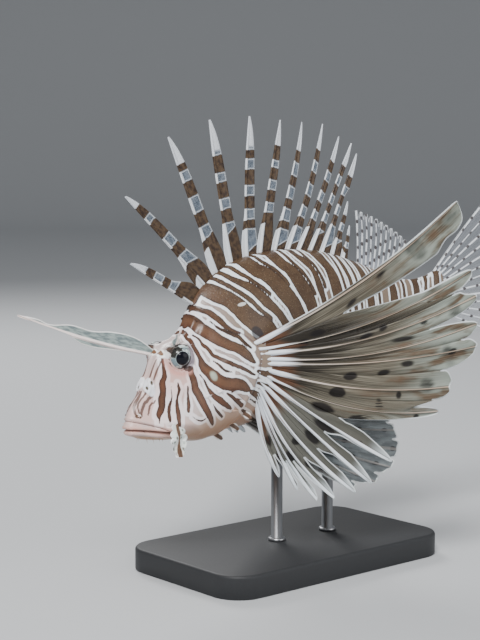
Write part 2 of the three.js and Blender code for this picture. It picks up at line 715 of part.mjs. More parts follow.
function flap(x, z, side, length) {
  const { tailward, rightward, upward } = axesAt(x);
  const start = rightward.clone().multiplyScalar(side).addScaledVector(upward, -0.6);
  const finish = start.clone().addScaledVector(upward, -0.5).addScaledVector(tailward, 0.3);
  return leaf({
    root: bend(skinAt(x, z, side)).addScaledVector(start.normalize(), -1.2),
    start,
    finish: finish.normalize(),
    length,
    normal: tailward.clone().addScaledVector(rightward, side * 0.4).normalize(),
    lead: (s) => 0.4 + 1.3 * Math.sin(Math.PI * s),
    trail: (s) => 0.4 + 1.3 * Math.sin(Math.PI * s),
    ridge: () => 0.5,
    rows: 4,
  });
}

// The nostrils, one on each side of the snout.
function nostril(side) {
  const at = bend(skin(21, 1.1, side));
  return solidFrom(new THREE.SphereGeometry(1.1, 8, 6), (p) => p.add(at));
}

const left = eyeParts(-1);
const right = eyeParts(1);
const ornaments = [-1, 1].flatMap((side) => [
  ...HEAD_SPINES.map(([x, around, length]) => headSpine(x, around, side, length)),
  ...FLAPS.map(([x, z, length]) => flap(x, z, side, length)),
]);
let headSolid = headForm
  .intersect(ahead)
  .subtract(jawSpace(0.5, GAP))
  .add(lip(LIP_LINE, ...UPPER_LIP))
  .add(left.rim)
  .add(right.rim);
const jawSolid = headForm.intersect(ahead).intersect(jawSpace(0, 0)).add(lip(LIP_LINE, ...LOWER_LIP));
for (const piece of ornaments) headSolid = headSolid.add(piece);
const hollows = [left, right].flatMap(({ room, opening }) => [room, opening]);
for (const hollow of [...hollows, nostril(-1), nostril(1), jawSpace(0.2, GAP)]) {
  headSolid = headSolid.subtract(hollow);
}
const torsoSolid = trunkForm.intersect(behindGill);
const stalkSolid = trunkForm.intersect(behindTrunk);

const room = headRoom
  .add(trunkRoom)
  .add(left.rimRoom)
  .add(right.rimRoom)
  .add(lip(LIP_LINE, ...UPPER_LIP, GAP))
  .add(lip(LIP_LINE, ...LOWER_LIP, GAP));
const clearOfBody = (solid) => largest(solid.subtract(room));

// Materials
const material = (color, roughness) => new THREE.MeshStandardMaterial({ color, roughness, metalness: 0 });
const striped = material(0x8a6a55, 0.45);
const face = material(0xd9b8a8, 0.45);
const membrane = material(0xb9b4ab, 0.5);
const spine = material(0x9a8c80, 0.5);
const eye = material(0x14161f, 0.15);
const stand = material(0x2a2c2f, 0.4);

// The fish
const fish = new THREE.Group();
fish.position.set(...MIDDLE_AT);
const pectoralRight = (degrees) => -4 + degrees * 0.55;
const pelvicRight = (degrees) => 20 + degrees * 0.8;
fish.add(
  meshOf("head", headSolid, face),
  meshOf("lower_jaw", jawSolid, face),
  meshOf("torso", torsoSolid, striped),
  meshOf("tail_stalk", stalkSolid, striped),
  meshOf("eye_left", left.ball, eye),
  meshOf("eye_right", right.ball, eye),
  meshOf("dorsal_fin_spiny", clearOfBody(spinyDorsal()), spine),
  meshOf("dorsal_fin_soft", clearOfBody(softDorsal()), membrane),
  meshOf("anal_fin", clearOfBody(analFin()), membrane),
  meshOf("caudal_fin", clearOfBody(caudalFin()), membrane),
  meshOf("pectoral_fin_left", clearOfBody(pectoralFin(-1, 41, (degrees) => degrees)), membrane),
  meshOf("pectoral_fin_right", clearOfBody(pectoralFin(1, 26, pectoralRight)), membrane),
  meshOf("pelvic_fin_left", clearOfBody(pelvicFin(-1, 38, (degrees) => degrees)), membrane),
  meshOf("pelvic_fin_right", clearOfBody(pelvicFin(1, 16, pelvicRight)), membrane),
  meshOf("tentacle_right", clearOfBody(tentacle(TENTACLE_RIGHT)), membrane),
  meshOf("tentacle_left", clearOfBody(tentacle(TENTACLE_LEFT)), membrane),
  meshOf("frill_left", clearOfBody(frill(-1, 17, -0.05)), membrane),
  meshOf("frill_right", clearOfBody(frill(1, 10, 0.7)), membrane),
);

// The stand, with rods whose tops are cut to the belly
const BASE = { length: 150, width: 90, height: 12, corner: 16 };
const ROD = { radius: 3, stations: [110, 146] };

function baseGeometry() {
  const { length, width, height, corner } = BASE;
  const outline = new THREE.Shape();
  const [x, y] = [length / 2 - corner, width / 2 - corner];
  const corners = [[x, y, 0], [-x, y, 90], [-x, -y, 180], [x, -y, 270]];
  for (const [cx, cy, from] of corners) {
    for (let k = 0; k <= 6; k += 1) {
      const angle = radians(from + 15 * k);
      const point = [cx + corner * Math.cos(angle), cy + corner * Math.sin(angle)];
      if (from === 0 && k === 0) outline.moveTo(...point);
      else outline.lineTo(...point);
    }
  }
  return new THREE.ExtrudeGeometry(outline, { depth: height, bevelEnabled: false });
}

function rodSolid(x) {
  const foot = vec(midline[x - MIDLINE_FROM].x, midline[x - MIDLINE_FROM].y, 0);
  const bottom = BASE.height + GAP - MIDDLE_AT[2];
  const geometry = new THREE.CylinderGeometry(ROD.radius, ROD.radius, -bottom, 20);
  geometry.rotateX(Math.PI / 2).translate(foot.x, foot.y, bottom / 2);
  return clearOfBody(solidFrom(geometry));
}

fish.add(
  meshOf("stand_rod_front", rodSolid(ROD.stations[0]), stand),
  meshOf("stand_rod_rear", rodSolid(ROD.stations[1]), stand),
);

const model = new THREE.Group();
model.add(fish, meshOf("stand_base", solidFrom(baseGeometry()), stand));

export default model;
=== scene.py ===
"""The looks of a red lionfish on its display stand.

The fish is drawn straight (x from the snout to the tail, y to its right, z up from the midline, in
millimetres) and bent along its swimming midline, as its solids are.
"""

import math

import bpy
import numpy as np
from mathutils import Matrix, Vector


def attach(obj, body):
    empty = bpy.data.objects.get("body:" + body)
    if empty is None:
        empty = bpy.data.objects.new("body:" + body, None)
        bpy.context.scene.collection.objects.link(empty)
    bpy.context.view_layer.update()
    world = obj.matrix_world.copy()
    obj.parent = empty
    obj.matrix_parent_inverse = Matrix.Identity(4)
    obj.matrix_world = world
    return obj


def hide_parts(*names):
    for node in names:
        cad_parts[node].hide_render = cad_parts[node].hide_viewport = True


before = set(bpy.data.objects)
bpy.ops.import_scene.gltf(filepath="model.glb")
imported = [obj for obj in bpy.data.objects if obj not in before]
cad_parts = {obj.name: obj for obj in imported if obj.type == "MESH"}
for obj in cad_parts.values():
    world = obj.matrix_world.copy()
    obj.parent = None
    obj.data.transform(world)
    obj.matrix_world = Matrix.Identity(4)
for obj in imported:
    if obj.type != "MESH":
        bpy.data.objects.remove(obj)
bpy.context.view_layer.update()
rng = np.random.default_rng(11)

MM = 0.001

# Driving sizes, as in the solids
BODY_LENGTH = 226
MIDDLE = 110
MIDDLE_AT = np.array([-8.0, 0.0, 118.0])
HEADING_AT_SNOUT = 10.1
HEADING_AT_TAIL = -9.75
PITCH = ([0, 57, 115, 172, 230], [27.6, 18.4, 4.1, 11.4, 14.4])

# Body stations: x, back, belly, half width, widest level, then brow and jaw as shares.
STATIONS = np.array([
    [0, 1, -5.5, 3, -2, 0.7, 0.7, 0.75, 0.7],
    [3, 4.2, -9, 5, -3, 0.6, 0.7, 0.75, 0.7],
    [8, 7.6, -13, 8.4, -5, 0.42, 0.72, 0.78, 0.7],
    [15, 10, -17.5, 11.8, -7, 0.32, 0.78, 0.8, 0.7],
    [22, 14.6, -21.5, 14, -8, 0.28, 0.88, 0.82, 0.7],
    [28, 19.5, -25.5, 15.5, -8, 0.3, 0.9, 0.82, 0.7],
    [36, 22, -30, 17, -8, 0.42, 0.86, 0.82, 0.7],
    [46, 21.5, -32.5, 19, -6, 0.44, 0.86, 0.8, 0.7],
    [53, 25, -33, 21, -4, 0.44, 0.74, 0.78, 0.7],
    [60, 33.5, -34.5, 22.5, -2, 0.46, 0.68, 0.76, 0.7],
    [78, 43.5, -38, 25, 0, 0.56, 0.7, 0.74, 0.7],
    [100, 46.5, -40.5, 25, 1, 0.6, 0.7, 0.74, 0.7],
    [125, 45.5, -36, 23, 2, 0.6, 0.7, 0.74, 0.7],
    [150, 40.5, -28, 19, 3, 0.6, 0.7, 0.74, 0.7],
    [172, 31, -19, 14, 3.5, 0.62, 0.7, 0.74, 0.7],
    [190, 20.5, -13, 9.8, 3, 0.66, 0.7, 0.72, 0.7],
    [205, 12.8, -11, 6.5, 1, 0.7, 0.7, 0.72, 0.7],
    [218, 11.2, -11, 4.5, 0, 0.72, 0.72, 0.72, 0.72],
    [226, 12, -12.3, 3, 0, 0.72, 0.74, 0.72, 0.74],
    [229, 11, -11.3, 1.6, 0, 0.72, 0.74, 0.72, 0.74],
])

# The gill cover's edge from the nape to the throat, and the line between the lips.
GILL_EDGE = np.array([[50, 60], [54, 38], [60, 27], [68, 17], [74, 7], [72, -2], [67, -12],
                      [61, -19], [54, -27], [47, -35], [40, -50]], float)
GILL_FLARE = 1.1
MOUTH_LINE = np.array([[-8, 2.6], [-2, -0.9], [6, -6], [15, -12], [24, -17]], float)
MOUTH_CORNER = 20
LIP_CREASE = (5.6, 0.3)  # how far above the mouth the upper lip ends, and how fast that shrinks

EYE_AT = (38.4, 6.6, 16.3)
EYE_RADIUS = 6.3
EYE_RIM = 7.3
EYE_OPENING = 5.5
EYE_GAZE = (-0.4, 1.0, 0.1)
PUPIL_EDGE = 0.83  # forward share of the eye's radius


# Curves

def smooth(xs, ys):
    """A smooth curve through the values given at rising x, level beyond both ends."""
    xs, ys = np.array(xs, float), np.array(ys, float)
    step = np.diff(xs)
    secant = np.diff(ys) / step
    slope = np.empty(len(xs))
    slope[0], slope[-1] = secant[0], secant[-1]
    slope[1:-1] = (secant[:-1] * step[1:] + secant[1:] * step[:-1]) / (step[1:] + step[:-1])

    def value(x):
        x = np.clip(np.asarray(x, float), xs[0], xs[-1])
        i = np.clip(np.searchsorted(xs, x, side="left") - 1, 0, len(xs) - 2)
        t = (x - xs[i]) / step[i]
        return (ys[i] * (2 * t**3 - 3 * t**2 + 1) + step[i] * slope[i] * (t**3 - 2 * t**2 + t)
                + ys[i + 1] * (3 * t**2 - 2 * t**3) + step[i] * slope[i + 1] * (t**3 - t**2))

    return value


def ease(low, high, x):
    t = np.clip((np.asarray(x, float) - low) / (high - low), 0, 1)
    return t * t * (3 - 2 * t)


def bump(x, middle, width):
    return np.exp(-(((x - middle) / width) ** 2))


def unit(v):
    v = np.asarray(v, float)
    return v / np.maximum(np.linalg.norm(v, axis=-1, keepdims=True), 1e-9)


def through(points, per_span):
    """A curve through all the points: each row is a point and any widths that go with it."""
    p = np.array(points, float)
    p = np.vstack([2 * p[0] - p[1], p, 2 * p[-1] - p[-2]])
    rows = []
    for i in range(1, len(p) - 2):
        t = np.linspace(0, 1, per_span, endpoint=False)[:, None]
        a, b, c, d = p[i - 1], p[i], p[i + 1], p[i + 2]
        rows.append(b + 0.5 * t * (c - a + t * (2 * a - 5 * b + 4 * c - d + t * (3 * (b - c) + d - a))))
    rows.append(p[-2][None])
    return np.vstack(rows)


# The swimming midline

pitch_at = smooth(*PITCH)


def axes_at(x):
    """Tailward, rightward and upward directions at a station."""
    pitch = np.radians(pitch_at(x))
    share = np.asarray(x, float) / BODY_LENGTH
    heading = np.radians(HEADING_AT_SNOUT + (HEADING_AT_TAIL - HEADING_AT_SNOUT) * share)
    tailward = np.stack([np.cos(pitch) * np.cos(heading), np.cos(pitch) * np.sin(heading),
                         np.sin(pitch)], -1)
    rightward = np.stack([-np.sin(heading), np.cos(heading), 0 * heading], -1)
    return tailward, rightward, np.cross(tailward, rightward)


MIDLINE_FROM, MIDLINE_TO = -80, 330
midline = np.zeros((MIDLINE_TO - MIDLINE_FROM + 1, 3))
midline[1:] = np.cumsum(axes_at(np.arange(MIDLINE_FROM + 0.5, MIDLINE_TO))[0], axis=0)
midline -= midline[MIDDLE - MIDLINE_FROM]


def middle_at(x):
    stations = np.arange(MIDLINE_FROM, MIDLINE_TO + 1)
    return np.stack([np.interp(x, stations, midline[:, k]) for k in range(3)], -1)


def bend(p):
    """A point of the straight fish, bent with the midline."""
    p = np.asarray(p, float)
    _, rightward, upward = axes_at(p[..., 0])
    return middle_at(p[..., 0]) + rightward * p[..., 1:2] + upward * p[..., 2:3]


def unbend(p):
    """Where a point near the bent fish is on the straight one."""
    p = np.asarray(p, float)
    x = p[..., 0] + MIDDLE
    for _ in range(8):
        x = x + np.sum((p - middle_at(x)) * axes_at(x)[0], -1)
    away = p - middle_at(x)
    _, rightward, upward = axes_at(x)
    return np.stack([x, np.sum(away * rightward, -1), np.sum(away * upward, -1)], -1)


# The body's skin

back, belly, half_width, level, brow_out, brow_up, jaw_out, jaw_down = (
    smooth(STATIONS[:, 0], STATIONS[:, k]) for k in range(1, 9))


def section_points(x):
    """The seven points that steer one side of a section, the first and last one mirrored."""
    top, low, half, mid = back(x), belly(x), half_width(x), level(x)
    brow = half * brow_out(x), mid + (top - mid) * brow_up(x)
    jaw = half * jaw_out(x), mid + (low - mid) * jaw_down(x)
    ys = [-brow[0], 0 * x, brow[0], half, jaw[0], 0 * x, -jaw[0]]
    zs = [brow[1], top, brow[1], mid, jaw[1], low, jaw[1]]
    return np.array(ys), np.array(zs)


def skin(x, around, side):
    """A point on the straight fish's skin: around runs from 0 on the back to 4 under the belly."""
    x, around = np.broadcast_arrays(np.asarray(x, float), np.asarray(around, float))
    ys, zs = section_points(x)
    k = np.clip(np.floor(around), 0, 3).astype(int)
    t = around - k

    def part(table):
        a, b, c, d = (np.take_along_axis(table, (k + i)[None], 0)[0] for i in range(4))
        return b + 0.5 * t * (c - a + t * (2 * a - 5 * b + 4 * c - d + t * (3 * (b - c) + d - a)))

    return np.stack([x, side * part(ys), part(zs)], -1)


def skin_at(x, z, side):
    """The skin's point nearest a height at one station."""
    places = skin(float(x), np.linspace(0, 4, 321), side)
    return places[np.argmin(np.abs(places[:, 2] - z))]


# Meshes

def new_object(name, points, faces, material, attributes=None, uvs=None):
    """A smooth object from points in millimetres round the held station, quads and attributes."""
    mesh = bpy.data.meshes.new(name)
    mesh.vertices.add(len(points))
    mesh.vertices.foreach_set("co", ((points + MIDDLE_AT) * MM).astype(np.float32).ravel())
    mesh.loops.add(faces.size)
    mesh.loops.foreach_set("vertex_index", faces.astype(np.int32).ravel())
    mesh.polygons.add(len(faces))
    mesh.polygons.foreach_set("loop_start", np.arange(0, faces.size, 4, dtype=np.int32))
    mesh.polygons.foreach_set("use_smooth", np.ones(len(faces), bool))
    if uvs is not None:
        layer = mesh.uv_layers.new(name="OFBake")
        layer.data.foreach_set("uv", uvs.astype(np.float32).ravel())
    for label, values in (attributes or {}).items():
        kind, key = ("FLOAT", "value") if values.ndim == 1 else ("FLOAT_VECTOR", "vector")
        field = mesh.attributes.new(label, kind, "POINT")
        field.data.foreach_set(key, values.astype(np.float32).ravel())
    mesh.update(calc_edges=True)
    mesh.validate()
    mesh.materials.append(material)
    thing = bpy.data.objects.new(name, mesh)
    bpy.context.scene.collection.objects.link(thing)
    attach(thing, "root")
    return thing


def grid_faces(rows, columns, closed=False):
    """Quads of a grid of points, row by row."""
    across = columns if closed else columns - 1
    i, j = np.meshgrid(np.arange(rows - 1), np.arange(across), indexing="ij")
    a = i * columns + j
    b = i * columns + (j + 1) % columns
    return np.stack([a, b, b + columns, a + columns], -1).reshape(-1, 4)


# Shader maths

class Value:
    """A socket of a material's node tree, with the operators that the materials use."""

    def __init__(self, paint, socket):
        self.paint, self.socket = paint, socket

    def math(self, operation, *others):
        inputs = dict(enumerate((self, *others)))
        return self.paint.node("ShaderNodeMath", {"operation": operation}, inputs)

    def __add__(self, other):
        return self.math("ADD", other)

    def __sub__(self, other):
        return self.math("SUBTRACT", other)

    def __mul__(self, other):
        return self.math("MULTIPLY", other)

    def __truediv__(self, other):
        return self.math("DIVIDE", other)

    def __neg__(self):
        return self * -1.0

    def __rsub__(self, other):
        return -self + other

    __radd__ = __add__
    __rmul__ = __mul__

    def part(self, index):
        """Another output of the same node."""
        return Value(self.paint, self.socket.node.outputs[index])

    def step(self, low, high):
        """0 below low and 1 above high, eased between them; low may be the larger one."""
        return self.paint.node("ShaderNodeMapRange", {"interpolation_type": "SMOOTHSTEP"},
                               {"Value": self, "From Min": low, "From Max": high})

    def near(self, middle, width):
        """1 at middle, falling to 0 a width away."""
        return (self - middle).math("ABSOLUTE").step(width, 0.0)


class Paint:
    """One material, with the calls that its colours and masks are made with."""

    def __init__(self, name, roughness=0.4, coat=0.0, coat_roughness=0.1, subsurface=0.0, specular=0.5):
        self.material = bpy.data.materials.new(name)
        self.material.use_nodes = True
        self.tree = self.material.node_tree
        self.shader = self.tree.nodes["Principled BSDF"]
        self.set(Roughness=roughness, Coat_Weight=coat, Coat_Roughness=coat_roughness,
                 Specular_IOR_Level=specular, Subsurface_Weight=subsurface)
        if subsurface:
            self.set(Subsurface_Radius=(1.0, 0.45, 0.3), Subsurface_Scale=1.5 * MM)

    def node(self, kind, settings, sockets, output=0):
        """A node of the given type: its settings first, then values or links of its sockets."""
        made = self.tree.nodes.new(kind)
        for key, value in settings.items():
            setattr(made, key, value)
        for key, value in sockets.items():
            if isinstance(value, Value):
                self.tree.links.new(value.socket, made.inputs[key])
            else:
                made.inputs[key].default_value = value
        return Value(self, made.outputs[output])

    def attribute(self, name, output="Fac"):
        return self.node("ShaderNodeAttribute", {"attribute_name": name}, {}, output)

    def split(self, vector):
        x = self.node("ShaderNodeSeparateXYZ", {}, {0: vector})
        return x, x.part(1), x.part(2)

    def scaled(self, vector, factors):
        return self.node("ShaderNodeVectorMath", {"operation": "MULTIPLY"}, {0: vector, 1: factors})

    def noise(self, vector, scale, detail=2.0, roughness=0.5):
        """Smooth noise between 0 and 1."""
        return self.node("ShaderNodeTexNoise", {}, {"Vector": vector, "Scale": scale, "Detail": detail,
                                                    "Roughness": roughness})

    def cells(self, vector, scale, randomness=0.8):
        """Distance to the middle of the nearest cell."""
        return self.node("ShaderNodeTexVoronoi", {}, {"Vector": vector, "Scale": scale,
                                                      "Randomness": randomness})

    def mix(self, low, high, factor):
        """Blends two colours, given as Values or as sRGB triples of 0 to 255."""
        low, high = (colour(*c) if isinstance(c, tuple) else c for c in (low, high))
        return self.node("ShaderNodeMix", {"data_type": "RGBA"}, {0: factor, 6: low, 7: high}, 2)

    def layers(self, shown, *layers):
        """Lays colours over a first one, each with its own mask."""
        for tint, mask in layers:
            shown = self.mix(shown, tint, mask)
        return shown

    def bump(self, height, distance, strength=1.0):
        """Raises the surface by height times distance, in millimetres."""
        return self.node("ShaderNodeBump", {}, {"Height": height, "Distance": distance * MM,
                                                "Strength": strength})

    def set(self, **sockets):
        for key, value in sockets.items():
            socket = self.shader.inputs[key.replace("_", " ")]
            if isinstance(value, Value):
                self.tree.links.new(value.socket, socket)
            else:
                socket.default_value = value
        return self.material


class FilmPaint(Paint):
    """The material of a fin or a leaf, with the places in millimetres that its mesh carries."""

    def __init__(self, name, **looks):
        super().__init__(name, **looks)
        self.flat = self.attribute("flat", "Vector")
        self.along, self.beside, self.order = self.split(self.flat)
        self.off_rod = self.beside.math("ABSOLUTE")
        self.share, self.rim, self.mark = (self.attribute(label) for label in ("share", "rim", "mark"))


def colour(red, green, blue):
    """A linear colour from sRGB values of 0 to 255."""
    def linear(c):
        c /= 255
        return c / 12.92 if c <= 0.04045 else ((c + 0.055) / 1.055) ** 2.4
    return (linear(red), linear(green), linear(blue), 1.0)


# The camera and the light

CAMERA_TARGET = Vector((-0.02265, 0.01256, 0.1282))
CAMERA_AZIMUTH = math.radians(-40.6)
CAMERA_ELEVATION = math.radians(6)
CAMERA_DISTANCE = 0.8
FILM_SIDE = 36
LENS = FILM_SIDE * 1546.4 / 640  # the photo's focal length in its pixels, over its height

WORLD_STRENGTH = 0.45
# Each light's name, place, size and power.
LIGHTS = [("key", (-0.9, -0.7, 1.3), 0.55, 33), ("fill", (0.5, -1.2, 0.5), 1.0, 5),
          ("back_light", (0.4, 1.1, 1.0), 0.6, 12)]
PAPER_REACH, PAPER_SWEEP, PAPER_TOP = 5.0, 1.2, 3.5


def add_camera():
    data = bpy.data.cameras.new("camera")
    data.sensor_fit = "VERTICAL"
    data.sensor_height = FILM_SIDE
    data.lens = LENS
    camera = bpy.data.objects.new("camera", data)
    bpy.context.scene.collection.objects.link(camera)
    away = Vector((math.sin(CAMERA_AZIMUTH) * math.cos(CAMERA_ELEVATION),
                   -math.cos(CAMERA_AZIMUTH) * math.cos(CAMERA_ELEVATION), math.sin(CAMERA_ELEVATION)))
    camera.location = CAMERA_TARGET + away * CAMERA_DISTANCE
    camera.rotation_euler = (-away).to_track_quat("-Z", "Y").to_euler()
    bpy.context.scene.camera = camera


def add_light(name, place, size, power):
    data = bpy.data.lights.new(name, "AREA")
    data.shape = "DISK"
    data.size = size
    data.energy = power
    light = bpy.data.objects.new(name, data)
    bpy.context.scene.collection.objects.link(light)
    light.location = place
    light.rotation_euler = (CAMERA_TARGET - Vector(place)).to_track_quat("-Z", "Y").to_euler()


def add_studio():
    world = bpy.data.worlds.new("studio")
    world.use_nodes = True
    background = world.node_tree.nodes["Background"]
    background.inputs["Color"].default_value = colour(205, 208, 212)
    background.inputs["Strength"].default_value = WORLD_STRENGTH
    bpy.context.scene.world = world
    for light in LIGHTS:
        add_light(*light)
    foot = PAPER_REACH - PAPER_SWEEP
    profile = [(-PAPER_REACH, 0.0)]
    for angle in np.linspace(0, math.pi / 2, 24):
        profile.append((foot + PAPER_SWEEP * math.sin(angle), PAPER_SWEEP - PAPER_SWEEP * math.cos(angle)))
    profile.append((PAPER_REACH, PAPER_TOP))
    points = [[x, y, z] for x, z in profile for y in (-PAPER_REACH, PAPER_REACH)]
    mesh = bpy.data.meshes.new("floor")
    mesh.from_pydata(points, [], grid_faces(len(profile), 2).tolist())
    mesh.polygons.foreach_set("use_smooth", np.ones(len(mesh.polygons), bool))
    floor = bpy.data.objects.new("floor", mesh)
    floor.rotation_euler = (0, 0, math.pi / 2 + CAMERA_AZIMUTH)
    bpy.context.scene.collection.objects.link(floor)
    paint = Paint("floor_paper", roughness=0.9, specular=0.2)
    mesh.materials.append(paint.set(Base_Color=colour(196, 198, 200)))


# Where the brown stripes lie on the left side, as strokes of x, z and width

HEAD_STRIPES = [
    [(31, 20, 1), (30, 18.5, 1.3), (28.5, 15.5, 1.9), (26.5, 12, 2.4), (24, 9.5, 3.2), (22, 6, 3.3),
     (19.5, 3.5, 3.7), (17.5, 1, 3.4), (15.5, -0.5, 3.2), (13.5, -1.5, 2.4), (12.5, -3, 1.1),
     (11, -4.5, 0.5)],
    [(26.5, 7, 0.4), (23.5, 2, 0.6), (21.5, 0.5, 1.2), (18.5, -2.5, 1.9), (16.5, -5.5, 1.5),
     (15.5, -6.5, 0.5)],
    [(30, 7, 0.8), (28.5, 4, 1.3), (26, 1.5, 1.1), (24.5, -0.5, 1.5), (23, -3, 2.1), (21.5, -6, 2.6),
     (20, -8.5, 2.1), (19, -11.5, 1.1)],
    [(33, 3.5, 0.7), (31, 0, 1), (29, -3.5, 1.8), (27, -6.5, 1.5)],
    [(27.5, -9.5, 0.4), (29, -12, 0.8), (31.5, -14.3, 0.8), (34.5, -14.7, 0.4)],
    [(39.5, 10, 2.6), (38.5, 8.5, 3), (37, 4.5, 3.7), (36, 1, 4.2), (36, -2.5, 4.5), (36, -7, 4.3),
     (36.5, -11, 4), (37.5, -16, 3.2), (38.5, -20, 1.4)],
    [(41.5, 5.5, 0.6), (42, 1.5, 1), (42, -2, 1.6), (43, -6.5, 2.8), (45.5, -10, 3.4), (48, -13.5, 3),
     (51, -17, 1.4)],
    [(41, -10, 0.6), (42, -14, 1.5), (45, -19, 1.2)],
    [(50.5, 25, 1.8), (50, 23, 2.2), (48.5, 21.5, 2.6), (47.5, 19.5, 2.6), (47, 15, 2.4),
     (46.5, 11.5, 2.6), (45.5, 8, 4.6), (46.5, 4, 6), (48, 0.5, 6.4), (50, -2.5, 6.4), (54, -5, 6.4),
     (58.5, -7, 6), (62, -10.5, 4), (63.5, -12, 1.6)],
    [(51, 21.5, 0.8), (52, 18, 1.4), (52, 16, 1.8), (53, 13.5, 1.9), (53, 10.5, 1.9), (54.5, 8.5, 2),
     (56, 6.5, 2.1), (58.5, 3.5, 2.1), (61.5, 1, 2), (65, -2.5, 1.8), (68, -5.5, 1)],
    [(51.5, 8, 0.8), (52.5, 6, 1.3), (53, 4, 1.4), (54, 2, 1.2), (56.5, 0.5, 0.8)],
    [(53.5, 31, 4.5), (55, 27, 6), (55.5, 23, 6.3), (57.5, 19, 6), (59.5, 15, 5.6), (62, 12, 5.2),
     (65.5, 8.5, 5), (67.5, 4.7, 4.4), (69.8, 0.3, 1.2)],
    [(58, 33, 2.2), (60.5, 30, 2.7), (62.5, 28, 2.9), (64, 24.3, 3), (65, 20.8, 2.8), (66.5, 17.7, 2.2),
     (69.5, 15.4, 1)],
    [(60.5, 24.5, 0.6), (62, 20.5, 1.2), (65, 16.5, 1.6), (67.5, 14, 1.8), (69, 10.5, 1.6),
     (71, 7, 0.8)],
    [(50, -8, 1), (53, -12, 2), (58, -18, 2.6)],
]
# Thin lines on top of the snout, seen from above: x, distance from the middle, width.
SNOUT_STRIPES = [
    [(15, 0.6, 0.7), (12, 0.9, 1.2), (9, 1, 1.3), (6.5, 1.6, 1.2), (5.3, 2.6, 0.9), (5, 3.2, 0.5)],
    [(17.5, 2, 0.5), (16.5, 2.4, 0.6), (13.5, 2.1, 0.6), (10.5, 2, 0.6), (8.5, 2.2, 0.6),
     (7.5, 2.8, 0.6), (6.5, 3.8, 0.4)],
    [(19, 4.7, 0.8), (17, 4.4, 1.1), (14.5, 3.8, 1.3), (12, 3.5, 1.3), (9.5, 3.7, 1.2), (7.5, 4.2, 1),
     (6.5, 4.6, 0.6)],
    [(17, 5.7, 0.4), (15.5, 5.6, 0.6), (14, 5.2, 0.7), (12.5, 5.3, 0.7), (11, 5.7, 0.6),
     (9.5, 5.9, 0.4)],
    [(28.5, 2.7, 0.4), (25.5, 2.3, 0.6), (23, 2.2, 0.7), (21.5, 2.1, 0.5)],
    [(29, 4.3, 0.4), (26, 3.8, 0.7), (24, 3.7, 0.7), (22, 3.6, 0.5)],
]
BODY_STRIPES = [
    [(61, 50, 5), (65.5, 41, 6), (68.5, 36, 8), (72.5, 31, 8), (74.5, 27, 8.4), (76.3, 22, 9.2),
     (79, 17.5, 10), (82.5, 13.5, 11.5), (85, 9, 10.5), (87.5, 4.5, 6), (88.5, 1, 3)],
    [(70, 50, 1.9), (73.5, 40.5, 1.9), (77.5, 34, 2.1), (81, 28.5, 2.5), (84.3, 22, 2.5),
     (88, 17.5, 2.1)],
    [(73, 52, 2.4), (76.8, 43, 2.4), (79, 39.3, 2.9), (82.2, 35.7, 4.2), (85.4, 32, 5),
     (87.3, 28.6, 5.6), (89.2, 25, 6), (92, 21, 5.2), (94.6, 16, 5), (96.4, 10.5, 5), (97.7, 3, 4.6),
     (98, -6, 3)],
    [(79, 52, 1.9), (83, 42, 1.9), (86.5, 37, 2.2), (90.5, 31.5, 2.1), (92.5, 28.5, 1.9)],
    [(88, 54, 8), (91.4, 41.4, 8.7), (94.3, 38.6, 8.8), (96.8, 35.7, 9.3), (98.9, 32, 9.6),
     (100.4, 28.6, 10), (102.5, 25, 10), (104.2, 21.4, 9.7), (105.2, 17.9, 9.6), (106.2, 14, 9.3),
     (106.6, 8, 8), (106, -4, 7), (104, -16, 5), (101, -26, 3)],
    [(94, 54, 1.9), (97.5, 43.5, 1.9), (101.5, 39, 2.3), (104.6, 33.5, 2.1), (105.6, 31, 1.8)],
    [(103, 54, 8.5), (107, 41.4, 7.5), (109.4, 38.6, 7.5), (111.4, 35.7, 8.6), (112.8, 32, 9.6),
     (113.9, 28.6, 10), (115.4, 25, 10), (116.3, 21.4, 9), (116.8, 17.9, 8.6), (116.8, 8, 8.3),
     (116, -6, 8), (113.5, -20, 7), (110, -34, 5)],
    [(110, 52, 2), (113.5, 42.5, 2), (117, 37, 2.6), (119.8, 32, 2.3), (121.3, 27, 2.1),
     (121.8, 24, 1.9)],
    [(117, 52, 4), (119.8, 44, 4), (124, 39.3, 5), (126.2, 35.7, 4.2), (127, 32, 4.6), (127, 26, 5.2),
     (127.2, 20, 4.2), (127, 10, 4.2), (126, -4, 4), (123, -20, 3.6), (120, -34, 3)],
    [(123, 52, 1.9), (126, 42.5, 1.9), (129.5, 37, 2.1), (131.5, 30, 2), (131.5, 26, 1.8)],
    [(134, 52, 10.5), (136.5, 43.5, 10.5), (138, 39.3, 8.6), (139.8, 35.7, 7.6), (140.7, 32, 8.6),
     (140.9, 28, 9.6), (140.2, 21, 9.3), (139, 12, 8.6), (137, 3, 8), (134.5, -10, 7.4), (131, -26, 6)],
]
